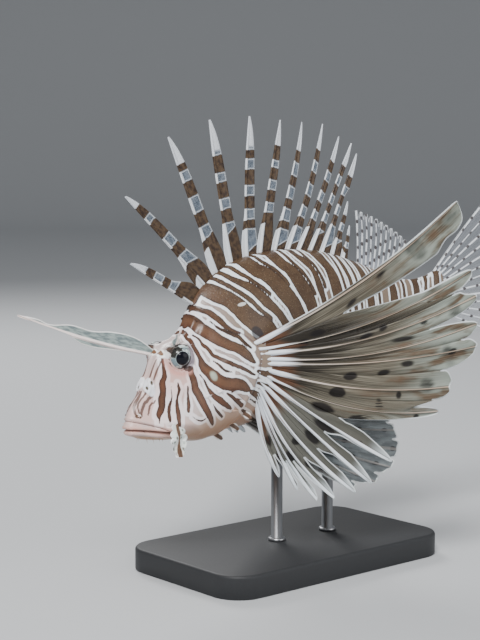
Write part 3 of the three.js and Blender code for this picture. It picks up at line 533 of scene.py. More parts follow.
TAIL_STRIPES = [
    [(147.6, 46, 2), (148.3, 38, 2), (149, 30, 2.4), (148, 20, 2), (146, 8, 1.9), (143, -8, 1.9),
     (140, -24, 1.9)],
    [(152, 50, 3.4), (153.5, 40, 3.4), (154.7, 30, 3.6), (154.7, 24, 3.4), (151.4, 8, 3.2),
     (149.5, -4, 3), (146.5, -20, 3), (144, -30, 3)],
    [(159, 42, 1.8), (160, 35, 1.8), (160.8, 27, 1.9), (158.5, 14, 1.9), (156.5, 6, 2), (154, -6, 1.9),
     (151, -22, 1.8)],
    [(165.5, 40, 5), (167, 33, 5), (168.2, 27, 5.6), (167.4, 15, 6.6), (165.4, 7.5, 6.6),
     (163, -4, 6.4), (160, -18, 6), (158, -28, 6)],
    [(176, 34, 1.8), (176, 27, 1.8), (176, 16, 1.8), (173.5, 7.5, 2), (171, -4, 2), (167.5, -22, 2)],
    [(190.5, 28, 5), (189.5, 21, 5), (188.8, 15, 5.8), (186.6, 7.5, 6.6), (183.5, -1, 6.4),
     (179, -16, 6)],
    [(201, 20, 1.8), (199, 14.5, 1.9), (196, 7.5, 2.4), (193, -1, 2.2), (188, -16, 2)],
    [(210.5, 17, 4.2), (208.8, 12, 4.2), (207, 7.5, 4.7), (204, 0, 4.8), (200.5, -8, 5), (198, -14, 5)],
    [(219, 16, 1.7), (217.5, 11.5, 1.7), (214.8, 7.5, 1.8), (211.5, 0, 1.8), (207.5, -12, 1.8)],
    [(226.5, 15, 4), (225, 11, 4), (223.6, 7.5, 4.6), (220.5, -1, 4.8), (216, -13, 4.8)],
]
THROAT_STRIPES = [
    [(64.5, -13, 2.5), (71, -18.5, 4), (79, -24, 4), (86, -27.5, 3.6), (93, -32, 3.4), (101, -37.5, 3)],
    [(70, -4, 1.5), (74, -6.5, 3), (79.5, -9, 4.4), (86, -11.3, 3.8), (92, -13, 2.4)],
    [(70, -10.5, 1.6), (76, -14, 2.4), (83, -17.5, 2.4), (89, -21.5, 2), (97, -26, 2)],
    [(58, -20.5, 1), (62, -24, 2.2), (67, -28.5, 2.6), (73, -32.5, 2), (80, -36, 1.6)],
    [(64.5, -17.5, 1), (70, -22, 1.4), (77, -27.5, 1.6), (85, -32.5, 1.6)],
]


def stroke_distance(places, strokes, lift, least=0.1):
    """Millimetres from the edge of the nearest stroke, below 0 inside it; lift puts a stroke in space."""
    nearest = np.full(len(places), 9.0)
    for stroke in strokes:
        path = through(stroke, 4)
        line = np.array([lift(*spot_at) for spot_at in path[:, :2]])
        low, high = line.min(0) - 8, line.max(0) + 8
        inside = np.nonzero(np.all((places > low) & (places < high), axis=1))[0]
        near = places[inside]
        best = np.full(len(near), 9.0)
        for a, b, start, end in zip(line[:-1], line[1:], path[:-1, 2], path[1:, 2]):
            along = b - a
            t = np.clip((near - a) @ along / (along @ along + 1e-9), 0, 1)
            away = np.linalg.norm(near - a - t[:, None] * along, axis=1)
            best = np.minimum(best, away - np.maximum(start + (end - start) * t, least) / 2)
        nearest[inside] = np.minimum(nearest[inside], best)
    return nearest


def line_distance(x, z, line):
    """Millimetres to an open line of points."""
    best = np.full(x.shape, 99.0)
    for a, b in zip(line[:-1], line[1:]):
        d = b - a
        t = np.clip(((x - a[0]) * d[0] + (z - a[1]) * d[1]) / (d @ d), 0, 1)
        best = np.minimum(best, np.hypot(x - a[0] - d[0] * t, z - a[1] - d[1] * t))
    return best


# The skin

NOSTRILS = ((20.5, 3.2), (17.6, 2.2))  # station and distance from the middle
BODY_STROKE_LEAST = 2.3  # the finest stripe that the trunk's mesh can carry
CHEEK_RIDGE = np.array([[24, 3], [36, 4], [48, 3], [62, 6]], float)
JAW_PLATE = np.array([[10, -3.5], [18, -8], [27, -14], [31, -20]], float)
SKIN_RING = 288
HEAD_SPACING = 0.55
TRUNK_SPACING = 0.86
TRUNK_FROM, TRUNK_TO = 84, 229
CAP_LENGTH = 1.2

gill_curve = through(GILL_EDGE, 8)
gill_order = np.argsort(gill_curve[:, 1])
mouth_curve = through(MOUTH_LINE, 8)


def gill_side(x, z):
    """Millimetres behind the gill cover's edge, below 0 on the cover."""
    edge = np.interp(z, gill_curve[gill_order, 1], gill_curve[gill_order, 0])
    return np.sign(x - edge) * line_distance(x, z, gill_curve)


def relief(p, around):
    """How far the skin stands out of the plain form, in millimetres."""
    x, z = p[..., 0], p[..., 2]
    # The gill cover with its raised edge, and the groove behind it.
    behind = gill_side(x, z)
    cover = ease(60, 82, x) * GILL_FLARE * np.sin(np.pi * around / 4)
    height = (cover + 0.5 * bump(behind, -1.4, 1.6)) * ease(0.5, -0.3, behind)
    height -= 0.5 * bump(behind, 0.9, 0.7)
    # The lips, the line between them and the crease over the upper one.
    mouth = z - np.interp(x, mouth_curve[:, 0], mouth_curve[:, 1])
    lips = ease(MOUTH_CORNER, MOUTH_CORNER - 5, x)
    front = 0.55 + 0.45 * ease(2, 9, x)
    height += lips * front * (1.2 * bump(mouth, 1.5, 1.0) + 1.3 * bump(mouth, -1.7, 1.2))
    height -= 2.0 * lips * bump(mouth, 0, 0.5)
    crease = mouth - LIP_CREASE[0] + LIP_CREASE[1] * x
    height += ease(16, 12, x) * (0.5 * bump(crease, 1.2, 0.8) - 0.9 * bump(crease, 0, 0.55))
    # Ridges of bone: on the cheek, on the jaw, over the brow and along the snout.
    cheek = bump(line_distance(x, z, CHEEK_RIDGE), 0, 2.2)
    height += 0.8 * cheek * ease(22, 30, x) * ease(66, 58, x)
    height += 0.6 * bump(line_distance(x, z, JAW_PLATE), 0, 1.6)
    ridges = bump(around, 0.4, 0.14) + bump(around, 0.85, 0.14)
    height += 0.8 * ridges * ease(27, 33, x) * ease(60, 53, x)
    height += 0.8 * bump(around, 0.85, 0.2) * ease(3, 8, x) * ease(26, 20, x)
    # The nostrils on their raised patch.
    beside = np.abs(p[..., 1])
    for at_x, at_y in NOSTRILS:
        nostril = np.hypot(x - at_x, beside - at_y)
        height += (0.6 * bump(nostril, 1.1, 0.5) - 0.9 * bump(nostril, 0, 0.55)) * ease(4, 8, z)
    patch = ((x - 18.8) / 2.2) ** 2 + ((beside - 2.7) / 2.4) ** 2
    height += 0.6 * np.exp(-patch ** 2) * ease(4, 8, z)
    # The fleshy root of the pectoral fin.
    root = np.hypot((x - 80) / 8, (z + 6) / 17)
    return height + 2.2 * np.exp(-root ** 4)


def eye_frame(side):
    """The middle of an eye and its gaze, on the bent fish."""
    x, y, z = EYE_AT
    tailward, rightward, upward = axes_at(x)
    gaze = EYE_GAZE[0] * tailward + side * EYE_GAZE[1] * rightward + EYE_GAZE[2] * upward
    return bend([x, side * y, z]), unit(gaze)


def eye_axes(gaze, side):
    """Tailward and upward directions across an eye's gaze."""
    tailward = unit(np.cross([0, 0, 1.0], gaze)) * -side
    return tailward, np.cross(gaze, tailward) * -side


def round_the_eye(points, side):
    """Lifts the skin over the eye's rim and sinks it under the eyeball."""
    middle, gaze = eye_frame(side)
    away = points - middle
    out = away @ gaze
    flat = away - out[:, None] * gaze
    radius = np.linalg.norm(flat, axis=1)
    close = (radius < 12) & (out > -2)
    dome = np.sqrt(np.maximum(EYE_RIM ** 2 - radius ** 2, 0)) - 0.5 * ease(7.4, 8.4, radius)
    dome = np.where(radius < EYE_RIM, dome, -6 * ease(EYE_RIM, EYE_RIM + 2.5, radius))
    soft = 1.1
    merged = soft * np.logaddexp(out / soft, dome / soft)
    sunk = np.sqrt(np.maximum(EYE_RADIUS ** 2 - radius ** 2, 0)) - 1.6
    wanted = np.where(radius < EYE_OPENING + 0.5, sunk, merged)
    moved = middle + flat + np.where(close, wanted, out)[:, None] * gaze
    return np.where(close[:, None], moved, points)


def skin_grid():
    """Straight places of the skin's points, row by row from the snout to the tail."""
    ring, half = SKIN_RING, SKIN_RING // 2
    head = np.arange(0.3, TRUNK_FROM, HEAD_SPACING)
    trunk = np.arange(TRUNK_FROM, TRUNK_TO, TRUNK_SPACING)
    xs = np.concatenate([[0.0], head, trunk, [float(TRUNK_TO)]])
    i = np.arange(ring)
    side = np.where(i <= half, 1.0, -1.0)
    around = 4 * np.where(i <= half, i, ring - i) / half
    places = skin(xs[:, None], around[None], side[None])
    caps = []
    for row, length in ((places[0], -CAP_LENGTH), (places[-1], CAP_LENGTH)):
        centre = np.array([row[0, 0], 0, (row[0, 2] + row[half, 2]) / 2])
        cap = []
        for angle in np.radians(np.arange(11, 90, 11)):
            forward = np.array([length * math.sin(angle), 0, 0])
            cap.append(centre + (row - centre) * math.cos(angle) + forward)
        cap.append(np.repeat((centre + np.array([length, 0, 0]))[None], ring, 0))
        caps.append(np.array(cap))
    return np.concatenate([caps[0][::-1], places, caps[1]]), around


def outward_normals(grid):
    along = np.gradient(grid, axis=0)
    across = (np.roll(grid, -1, 1) - np.roll(grid, 1, 1)) / 2
    normals = unit(np.cross(across, along))
    middle = grid.mean(axis=1, keepdims=True)
    flip = np.sign(np.sum(normals * (grid - middle), -1).mean())
    return normals * flip


def on_skin(x, z):
    return skin_at(x, z, 1)


def on_snout(x, beside):
    places = skin(x, np.linspace(0, 2, 41), 1)
    return places[np.argmin(np.abs(places[:, 1] - beside))]


def skin_fields(place, raised=None):
    """What the skin's paint reads at each straight place; raised is where the relief puts it."""
    x, z = place[:, 0], place[:, 2]
    if raised is None:
        raised = place
    folded, raised = (p * [1, 0, 1] + np.abs(p) * [0, 1, 0] for p in (place, raised))
    on_head = stroke_distance(folded, HEAD_STRIPES + THROAT_STRIPES, on_skin)
    on_body = stroke_distance(folded, BODY_STRIPES + TAIL_STRIPES, on_skin, BODY_STROKE_LEAST)
    mouth = z - np.interp(x, mouth_curve[:, 0], mouth_curve[:, 1])
    middle, gaze = eye_frame(1)
    tailward, up = eye_axes(gaze, 1)
    away = bend(raised) - middle
    return {
        "fish": place,
        "dark": np.minimum(on_head, on_body),
        "fine": stroke_distance(folded, SNOUT_STRIPES, on_snout),
        "gill": gill_side(x, z),
        "mouth": np.where(x < MOUTH_CORNER + 8, mouth, 9.0),
        "orbit": np.stack([away @ tailward, away @ up, away @ gaze], 1),
    }


def make_skin(paint):
    grid, around = skin_grid()
    rows, ring = grid.shape[:2]
    height = relief(grid, np.broadcast_to(around, grid.shape[:2]))
    shaped = grid + outward_normals(grid) * height[..., None]
    points = bend(shaped.reshape(-1, 3))
    for side in (-1, 1):
        points = round_the_eye(points, side)
    faces = grid_faces(rows, ring, closed=True)
    i, j = np.meshgrid(np.arange(rows - 1), np.arange(ring), indexing="ij")
    corners = ((0, 0), (1, 0), (1, 1), (0, 1))
    uvs = np.stack([np.stack([(j + du) / ring, (i + dv) / (rows - 1)], -1) for du, dv in corners], 2)
    thing = new_object("fish_skin", points, faces, paint,
                       skin_fields(grid.reshape(-1, 3), unbend(points)), uvs.reshape(-1, 2))
    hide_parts("head", "lower_jaw", "torso", "tail_stalk")


def skin_paint():
    """White lines with tan between them round brown stripes, pink on the snout and the cheek."""
    paint = Paint("wet_fish_skin", roughness=0.42, coat=0.16, coat_roughness=0.2, subsurface=0.05,
                  specular=0.35)
    fish = paint.attribute("fish", "Vector")
    x, _, z = paint.split(fish)
    wobble = paint.noise(fish, 0.3, 3.0) - 0.5
    dark = paint.attribute("dark") + wobble * 0.9
    fine = paint.attribute("fine") + wobble * 0.4
    head = x.step(78.0, 46.0)
    snout = x.step(36.0, 14.0)
    throat = z.step(-14.0, -30.0) * x.step(120.0, 80.0)
    pink = spot(x, z, (31, 8), (9.5, 8.5), 1.6, 0.2)
    scales = paint.cells(paint.scaled(fish, (0.85, 0.85, 1.0)), 1.0)
    speckle = paint.noise(fish, 1.4, 3.0, 0.6)
    cloud = paint.noise(fish, 0.14, 2.0)

    between = paint.layers(
        paint.mix((132, 114, 98), (206, 190, 186), head),
        ((226, 194, 186), snout * cloud.step(0.2, 0.6)),
        ((182, 148, 122), z.step(-8.0, -20.0) * head * 0.85),
        ((224, 172, 160), pink * 0.6),
        ((172, 134, 108), throat))
    line = paint.layers(
        paint.mix((242, 248, 252), (250, 244, 246), head),
        ((250, 224, 218), snout * 0.5),
        ((208, 184, 166), z.step(-10.0, -22.0) * head * 0.8),
        ((236, 194, 184), pink * 0.5),
        ((200, 176, 158), throat * 0.8))
    past_line = dark - (1.3 + snout * 0.9)
    seam = past_line.near(0.35, 0.3) * x.step(40.0, 56.0) * (1.0 - throat)
    white = paint.layers(
        paint.mix(between, line, past_line.step(0.5, -0.2)),
        ((150, 164, 170), speckle.step(0.56, 0.85) * (1.0 - snout) * 0.35),
        ((108, 88, 78), seam * 0.5))
    brown = paint.layers(
        paint.mix((90, 70, 52), (98, 62, 44), head),
        ((64, 46, 35), cloud.step(0.4, 0.7) * 0.5),
        ((128, 110, 86), scales.step(0.34, 0.06) * (1.0 - head) * 0.7),
        ((50, 36, 28), speckle.step(0.5, 0.7) * 0.55),
        ((128, 94, 68), dark.step(-0.9, -2.4) * head * 0.4),
        ((44, 30, 26), dark.near(-0.2, 0.6) * 0.75))

    mouth = paint.attribute("mouth")
    front = x.step(MOUTH_CORNER + 1.0, MOUTH_CORNER - 3.0)
    chin = mouth.step(-1.4, -3.6) * x.step(MOUTH_CORNER + 8.0, MOUTH_CORNER)
    crease = mouth - LIP_CREASE[0] + x * LIP_CREASE[1]
    shown = paint.layers(
        paint.mix(white, brown, dark.step(0.16, -0.12)),
        ((88, 56, 42), fine.step(0.3, -0.05) * z.step(-4.0, 0.0) * 0.9),
        ((96, 70, 84), paint.attribute("gill").near(0.4, 0.8) * z.step(22.0, 14.0) * 0.6),
        ((182, 140, 108), chin * 0.9),
        ((216, 164, 146), mouth.near(0.6, 2.8) * front * 0.75),
        # Painted shade: a dark line in the groove between the lips, and another in the crease over the
        # upper lip.
        ((66, 32, 26), mouth.near(0.0, 0.75) * front * 0.9),
        ((84, 46, 38), crease.near(0.0, 0.45) * x.step(16.0, 13.0) * 0.85),
        ((186, 194, 176), spot(x, z, (47.4, 2.1), (1.7, 2.4), 1.5, 0.2) * 0.9),
        ((38, 34, 38), spot(x, z, (77.2, 12.5), (2.8, 3.8)) * 0.85),
        ((226, 226, 222), spot(x, z, (76.6, 27.5), (2.0, 0.8)) * 0.8))
    shown = snout_marks(paint, around_the_eye(paint, shown, speckle))
    bumps = scales.step(0.62, 0.1) * x.step(48.0, 75.0) + paint.noise(fish, 2.2, 2.0) * 0.5
    return paint.set(Base_Color=shown, Normal=paint.bump(bumps, 0.14, 0.6),
                     Roughness=0.3 + speckle * 0.16)


def spot(x, z, middle, half, outer=1.25, inner=0.75):
    """1 inside an oval on both sides of the fish."""
    across = (x - middle[0]) * (1 / half[0])
    up = (z - middle[1]) * (1 / half[1])
    return (across * across + up * up).step(outer, inner)


def snout_marks(paint, shown):
    """The white patch of the nostrils with their dark openings, seen from above."""
    x, y, z = paint.split(paint.attribute("fish", "Vector"))
    beside, above = y.math("ABSOLUTE"), z.step(4.0, 7.0)
    patch = ((250, 250, 255), spot(x, beside, (18.6, 2.4), (2.6, 2.8)) * above)
    openings = [((84, 74, 58), spot(x, beside, at, (0.6, 0.5)) * above) for at in NOSTRILS]
    return paint.layers(shown, patch, *openings)


def around_the_eye(paint, shown, speckle):
    """The orbit's marks, with a painted highlight on its rim's top and painted shade in the crease over the
    eye; in millimetres tailward and up from the eye's middle.
    """
    orbit = paint.attribute("orbit", "Vector")
    a, b, out = paint.split(orbit)
    wobble = (paint.noise(orbit, 0.5, 3.0) - 0.5) * 1.6
    a, b = a + wobble, b + wobble * 0.7
    radius = (a * a + b * b).math("SQRT")
    near = out.step(-1.0, 1.0)
    ring = radius.step(8.6, 7.4) * near
    under = radius.near(7.8, 2.4) * (a * 0.7 + b).step(-1.0, -4.0)
    dark = (spot(a, b, (-5.0, 4.4), (4.2, 2.3)) + spot(a, b, (-0.6, 7.5), (0.9, 0.5))
            + spot(a, b, (2.6, 6.6), (1.1, 1.2)))
    lines = (b - a * 0.55 + speckle * 0.6).math("PINGPONG", 0.85)
    brow = spot(a, b, (-9.0, 6.0), (4.2, 2.6)) * near
    x, y, z = paint.split(paint.attribute("fish", "Vector"))
    beside, above = y.math("ABSOLUTE"), z.step(16.0, 18.0)
    return paint.layers(
        shown,
        ((222, 158, 144), under * near * 0.7),
        ((168, 158, 166), ring * a.step(-1.0, 3.0) * b.step(-5.5, -3.0)),
        # Painted highlight: the top of the eye's rim in pale mint white.
        ((222, 234, 232), ring * b.step(2.5, 4.5) * a.step(-5.0, -2.0) * a.step(4.5, 2.5)),
        # Painted shade: a dark line in the crease round the upper half of the eye opening.
        ((74, 60, 52), radius.near(6.7, 0.4) * b.step(1.0, 3.0) * near * 0.8),
        ((60, 36, 28), spot(a, b, (3.6, -5.6), (2.2, 1.3)) * near * 0.9),
        ((52, 40, 32), (dark * near).math("MINIMUM", 0.92)),
        ((124, 84, 62), brow * lines.step(0.5, 0.66) * 0.85),
        ((250, 246, 244), spot(a, b, (-7.4, 1.6), (1.7, 1.9)) * near),
        ((250, 248, 244), spot(x, beside, (31.8, 2.2), (1.9, 2.6), 1.2, 0.9) * above),
        ((120, 84, 58), spot(x, beside, (31.8, 2.2), (1.1, 1.8), 1.2, 0.8) * above))


# The eyes

def make_eye(name, side, paint):
    """A ball that carries its own directions: tailward, up and along the gaze."""
    middle, gaze = eye_frame(side)
    along, up = eye_axes(gaze, side)
    rows, ring = 96, 128
    tilt = np.linspace(0.002, np.pi - 0.002, rows)[:, None]
    turn = np.arange(ring)[None] * 2 * np.pi / ring
    local = np.stack([np.sin(tilt) * np.cos(turn), np.sin(tilt) * np.sin(turn),
                      np.cos(tilt) * np.ones_like(turn)], -1).reshape(-1, 3)
    bulge = 0.3 * ease(0.56, 0.42, np.repeat(tilt, ring, 1).ravel())
    points = middle + (EYE_RADIUS - 0.15 + bulge)[:, None] * (
        local[:, :1] * along + local[:, 1:2] * up + local[:, 2:] * gaze)
    thing = new_object(name + "_ball", points, grid_faces(rows, ring, closed=True), paint,
                       {"look": local})
    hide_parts(name)


def eye_paint():
    """A blue-black pupil in a pale iris with dark and blue patches."""
    paint = Paint("glossy_eye", roughness=0.3, coat=0.35, coat_roughness=0.04, specular=0.1)
    look = paint.attribute("look", "Vector")
    tailward, up, forward = paint.split(look)
    blotch = paint.noise(look, 5.0, 3.0)
    grain = paint.noise(look, 16.0, 2.0)
    tailward, up = tailward + (blotch - 0.5) * 0.35, up + (blotch - 0.5) * 0.25
    return paint.set(Base_Color=paint.layers(
        paint.mix((130, 144, 148), (206, 216, 214), blotch.step(0.4, 0.6)),
        ((84, 74, 66), grain.step(0.55, 0.7) * 0.6),
        ((30, 23, 16), spot(tailward, up, (-0.5, 0.5), (0.58, 0.48)) * 0.95),
        ((118, 140, 148), spot(tailward, up, (-0.66, -0.42), (0.28, 0.45)) * 0.85),
        ((44, 24, 18), spot(tailward, up, (0.42, -0.62), (0.44, 0.3)) * 0.95),
        ((46, 36, 32), spot(tailward, up, (0.74, -0.12), (0.14, 0.34)) * 0.9),
        # Painted shade: the ball's sides under the lids, inside the socket.
        ((40, 34, 34), forward.step(0.5, 0.3)),
        ((180, 190, 190), forward.near(PUPIL_EDGE, 0.03) * 0.7),
        ((8, 9, 20), forward.step(PUPIL_EDGE, PUPIL_EDGE + 0.012))))


def make_lids(side, paint):
    """A soft ring of skin round the opening of the eye."""
    middle, gaze = eye_frame(side)
    along, up = eye_axes(gaze, side)
    ring, tube = 120, 14
    turn = np.arange(ring) * 2 * np.pi / ring
    centre = EYE_OPENING + 0.2 + 0.15 * np.sin(3 * turn)
    height = np.sqrt(EYE_RADIUS ** 2 - EYE_OPENING ** 2) + 0.05
    outward = np.cos(turn)[:, None] * along + np.sin(turn)[:, None] * up
    angle = np.arange(tube) * 2 * np.pi / tube
    thick = 0.42 + 0.1 * np.sin(5 * turn + 1)
    off = centre[:, None] + thick[:, None] * np.cos(angle)[None]
    raised = height + thick[:, None] * np.sin(angle)[None]
    points = middle + outward[:, None] * off[..., None] + gaze * raised[..., None]
    faces = grid_faces(ring + 1, tube, closed=True) % (ring * tube)
    flat = points.reshape(-1, 3)
    sided = "left" if side < 0 else "right"
    new_object("eyelid_" + sided, flat, faces, paint, skin_fields(unbend(flat)))


# Fins

class Ray:
    """One fin ray, from its root along one direction to its end along another.

    Lead and trail are the widths of the sheet on its two edges, rod and film half its thickness,
    all from 0 at the root to 1 at the tip. Web is how far the sheet joins this ray to the next.
    """

    def __init__(self, root, start, finish, length, normal, lead, trail, rod, film, web):
        self.root, self.length = np.array(root, float), length
        self.normal, self.web = np.array(normal, float), web
        self.knee = self.root + np.array(start) * length * 0.5
        self.tip = self.knee + np.array(finish) * length * 0.5
        self.lead, self.trail, self.rod, self.film = lead, trail, rod, film

    def at(self, s):
        s = np.minimum(s, 1.0)[..., None]
        return self.root * (1 - s) ** 2 + self.knee * 2 * s * (1 - s) + self.tip * s ** 2

    def tangent(self, s):
        s = np.minimum(s, 1.0)[..., None]
        return unit((self.knee - self.root) * (1 - s) + (self.tip - self.knee) * s)

    def side(self, s):
        return unit(np.cross(self.normal, self.tangent(s)))


VANE_SHARE = 0.44  # how much of the room between two rays a vane may take past the web
ROD_PLACES = (0, 0.5, 0.87, 1)
FILM_PLACES = (0.18, 0.4, 0.65, 0.85, 1)
ORDER_STEP = 40.0  # how far apart the rays lie in the noise of their paint


def room_beside(ray, other, s):
    if other is None:
        return np.full(s.shape, np.inf)
    here, there = ray.at(s), other.at(np.linspace(0, 1, 40))
    return VANE_SHARE * np.linalg.norm(here[:, None] - there[None], axis=2).min(1)


def free_edge(ray, other, s, joined, corner, notch, sign):
    """The edge of a ray's sheet: the valley shared with its neighbour, then its own vane."""
    width = (ray.lead if sign < 0 else ray.trail)(s)
    width = np.minimum(width, room_beside(ray, other, s))
    own = ray.at(s) + sign * ray.side(s) * width[:, None]
    if other is None:
        return own, np.zeros(s.shape, bool)
    web = joined["web"]
    end = np.array([web])
    away = corner - ray.at(end)[0]
    along = away @ ray.tangent(end)[0]
    beside = away @ ray.side(end)[0]
    freed = ease(web, web + notch, s)
    mixed = beside * (1 - freed) + sign * width * freed
    past = ray.at(s) + ray.side(s) * mixed[:, None] + ray.tangent(s) * (along * (1 - freed))[:, None]
    inside = s <= web
    return np.where(inside[:, None], joined["valley"](s / web), past), inside


def sheet_columns(ridge, rod, film, edges, joined_at):
    """The columns of a ray's sheet, from its leading edge over its rod to its trailing edge."""
    columns = []
    for sign, edge, inside in zip((-1, 1), edges, joined_at):
        room = np.linalg.norm(edge - ridge, axis=1)
        narrow = np.minimum(rod, 0.6 * room + 1e-4)
        halves = [(narrow * place, film + (rod - film) * math.sqrt(1 - place ** 2)) for place in ROD_PLACES]
        halves += [(narrow + (room - narrow) * place, film) for place in FILM_PLACES]
        columns += [(sign * across, across / (room + 1e-9), half, edge, inside, room)
                    for across, half in halves]
    count = len(ROD_PLACES) + len(FILM_PLACES)
    return columns[1:count][::-1] + columns[count:]


def ray_sheet(ray, columns, s, phase, billow):
    """A sheet's middle surface, half thickness, distance to its free rim and distance off the ray."""
    ridge, tip_room = ray.at(s), (1 - s) * ray.length
    sheet = []
    for beside, share, half, edge, inside, room in columns:
        place = ridge + (edge - ridge) * share[:, None]
        wave = np.sin(np.pi * np.clip(share, 0, 1)) * billow * ease(0.1, 0.5, s)
        wave = wave * np.sin(s * 9 + phase + np.sign(beside) * 0.8)
        rim = np.where(inside, 9.0, room * (1 - share))
        if inside.any():
            corner_at = edge[np.nonzero(inside)[0][-1]]
            rim = np.minimum(rim, np.linalg.norm(place - corner_at, axis=1))
        sheet.append((place + ray.normal * wave[:, None], half, np.minimum(rim, tip_room), beside))
    grid, half, rim, beside = (np.stack(column, 1) for column in zip(*sheet))
    half *= np.minimum(1, 6 * (1 - s) + 0.15)[:, None]
    half[:, [0, -1]] *= 0.3
    return grid, half, rim, beside


def fin_points(rays, rows, mark, lean=0.5, reach=1, notch=0.12, billow=0.5):
    """Points, faces and fields of all rays with their sheets, a closed skin for each ray."""
    points, faces, fields = [], [], {"share": [], "flat": [], "rim": [], "mark": []}
    start = 0
    s = np.linspace(0, 1, rows + 1)
    phases = rng.uniform(0, 6.28, (len(rays), 2))[:, 0]

    def valley_between(a, b):
        def valley(share):
            there = b.at(np.minimum(1, share * a.web * a.length * reach / b.length))
            return a.at(share * a.web) * (1 - lean) + there * lean
        return valley

    valleys = [valley_between(a, b) for a, b in zip(rays, rays[1:])]
    for i, ray in enumerate(rays):
        before = rays[max(i - 1, 0)].web
        web = before if i == len(rays) - 1 else ray.web if i == 0 else (before + ray.web) / 2
        edges, joined_at = [], []
        for sign, k in ((-1, i - 1), (1, i)):
            other = rays[i + sign] if 0 <= i + sign < len(rays) else None
            joined = None if other is None else {"web": web, "valley": valleys[k]}
            corner = None if other is None else valleys[k](np.array([1.0]))[0]
            edge, inside = free_edge(ray, other, s, joined, corner, notch, sign)
            edges.append(edge)
            joined_at.append(inside)
        columns = sheet_columns(ray.at(s), ray.rod(s), ray.film(s), edges, joined_at)
        grid, half, rim, beside = ray_sheet(ray, columns, s, phases[i], billow)
        along = np.repeat((s * ray.length)[:, None], len(columns), 1)
        both = np.concatenate([grid + ray.normal * half[..., None],
                               (grid - ray.normal * half[..., None])[:, ::-1]], axis=1)
        ring = 2 * len(columns)
        points.append(both.reshape(-1, 3))
        faces.append(grid_faces(rows + 1, ring, closed=True) + start)
        start += (rows + 1) * ring

        def doubled(field):
            return np.concatenate([field, field[:, ::-1]], axis=1).ravel()

        order = np.full((rows + 1) * ring, i * ORDER_STEP)
        fields["share"].append(np.repeat(s, ring))
        fields["flat"].append(np.stack([doubled(along), doubled(beside), order], 1))
        fields["rim"].append(doubled(rim))
        fields["mark"].append(doubled(mark(i, along, beside, grid)))
    fields = {key: np.concatenate(value) for key, value in fields.items()}
    return np.concatenate(points), np.concatenate(faces), fields


def fin_mesh(name, rays, material, slot, mark, bending=False, rows=80, **shape):
    """A whole fin in place of its node."""
    points, faces, fields = fin_points(rays, rows, mark, **shape)
    thing = new_object(name + "_film", bend(points) if bending else points, faces, material, fields)
    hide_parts(name)


def taper(root, tip):
    return lambda s: root + (tip - root) * s


def level_width(width):
    return lambda s: np.full(np.shape(s), float(width))


ROOT_DEPTH = 4
THIN = 0.09  # half the thickness of a fin's membrane

# Spines of the back: x of the root, length, and lean from upright towards the tail.
BACK_SPINES = [
    (60, 44, -38), (69, 65, -26), (77, 73, -8), (86, 72, -1), (95, 70, 6), (103, 68, 14), (112, 69, 22),
    (121, 73, 32), (129, 70, 39), (138, 67, 41), (147, 60, 39), (155, 31, 34), (163, 18, 26),
]
# Brown bands of each spine, from and to, as shares of its length down from the tip.
SPINE_BANDS = [
    [(0.24, 0.36), (0.5, 0.6), (0.71, 0.84)],
    [(0.13, 0.24), (0.31, 0.47), (0.58, 0.67), (0.77, 0.9)],
    [(0.2, 0.25), (0.33, 0.44), (0.56, 0.66), (0.75, 0.81)],
    [(0.25, 0.37), (0.44, 0.55), (0.63, 0.72)],
    [(0.24, 0.3), (0.38, 0.49), (0.57, 0.66), (0.74, 0.8)],
    [(0.19, 0.3), (0.36, 0.45), (0.53, 0.62), (0.7, 0.78)],
    [(0.22, 0.31), (0.42, 0.5), (0.6, 0.67), (0.77, 0.83)],
    [(0.2, 0.29), (0.38, 0.47), (0.57, 0.65), (0.74, 0.81)],
    [(0.21, 0.3), (0.39, 0.48), (0.57, 0.65), (0.73, 0.8)],
    [(0.2, 0.29), (0.38, 0.47), (0.56, 0.64), (0.73, 0.8)],
    [(0.22, 0.32), (0.42, 0.52), (0.62, 0.72)],
    [(0.25, 0.4), (0.55, 0.7)],
    [(0.3, 0.5), (0.7, 0.85)],
]

# How high the brown of the body climbs on the film behind each spine.
BROWN_FEET = (6, 8, 16, 13, 1, 17, 1, 2, 13, 9, 2, 5, 3)


def upright(degrees):
    return np.array([math.sin(math.radians(degrees)), 0, math.cos(math.radians(degrees))])


def spiny_dorsal(paint):
    rays = []
    for x, length, lean in BACK_SPINES:
        full = length + ROOT_DEPTH

        def trail(s, full=full):
            foot = 3.4 * np.maximum(0, 1 - (s * full) / 22) ** 2
            return min(1, full / 55) * (foot + 5 * (1 - 0.3 * s)) * (1 - s ** 7) + 0.4

        rays.append(Ray(np.array([x, 0, float(back(x))]) - upright(lean) * ROOT_DEPTH, upright(lean - 3),
                        upright(lean + 3), full, (0, 1, 0), taper(0.65, 0.35), trail, taper(0.85, 0.3),
                        level_width(THIN), (ROOT_DEPTH + 6) / full))

    def bands(i, along, beside, grid):
        down = (rays[i].length - along) / BACK_SPINES[i][1]
        best = np.full(along.shape, 9.0)
        for low, high in SPINE_BANDS[i]:
            best = np.minimum(best, np.maximum(low - down, down - high) * BACK_SPINES[i][1])
        foot = along - ROOT_DEPTH - BROWN_FEET[i] - 0.8 * beside
        return np.minimum(best, np.maximum(foot, (0.9 - beside) * 2))

    fin_mesh("dorsal_fin_spiny", rays, paint, "spine", bands, bending=True, lean=0.72, reach=0.8,
             notch=0.25, billow=0.3)


def soft_dorsal(paint):
    count = 11
    rays = []
    for i in range(count):
        share = i / (count - 1)
        x, lean = 172 + 25 * share, 11 + 19 * share
        length = ROOT_DEPTH + 28 - 7 * share ** 2
        rays.append(Ray((x, 0, float(back(x)) - ROOT_DEPTH), upright(lean + 4), upright(lean - 6), length,
                        (0, 1, 0), level_width(0.8), level_width(0.8), taper(0.45, 0.2),
                        level_width(THIN), 0.9))
    fin_mesh("dorsal_fin_soft", rays, paint, "membrane", dots(5, 7), bending=True, rows=44, billow=0.3)


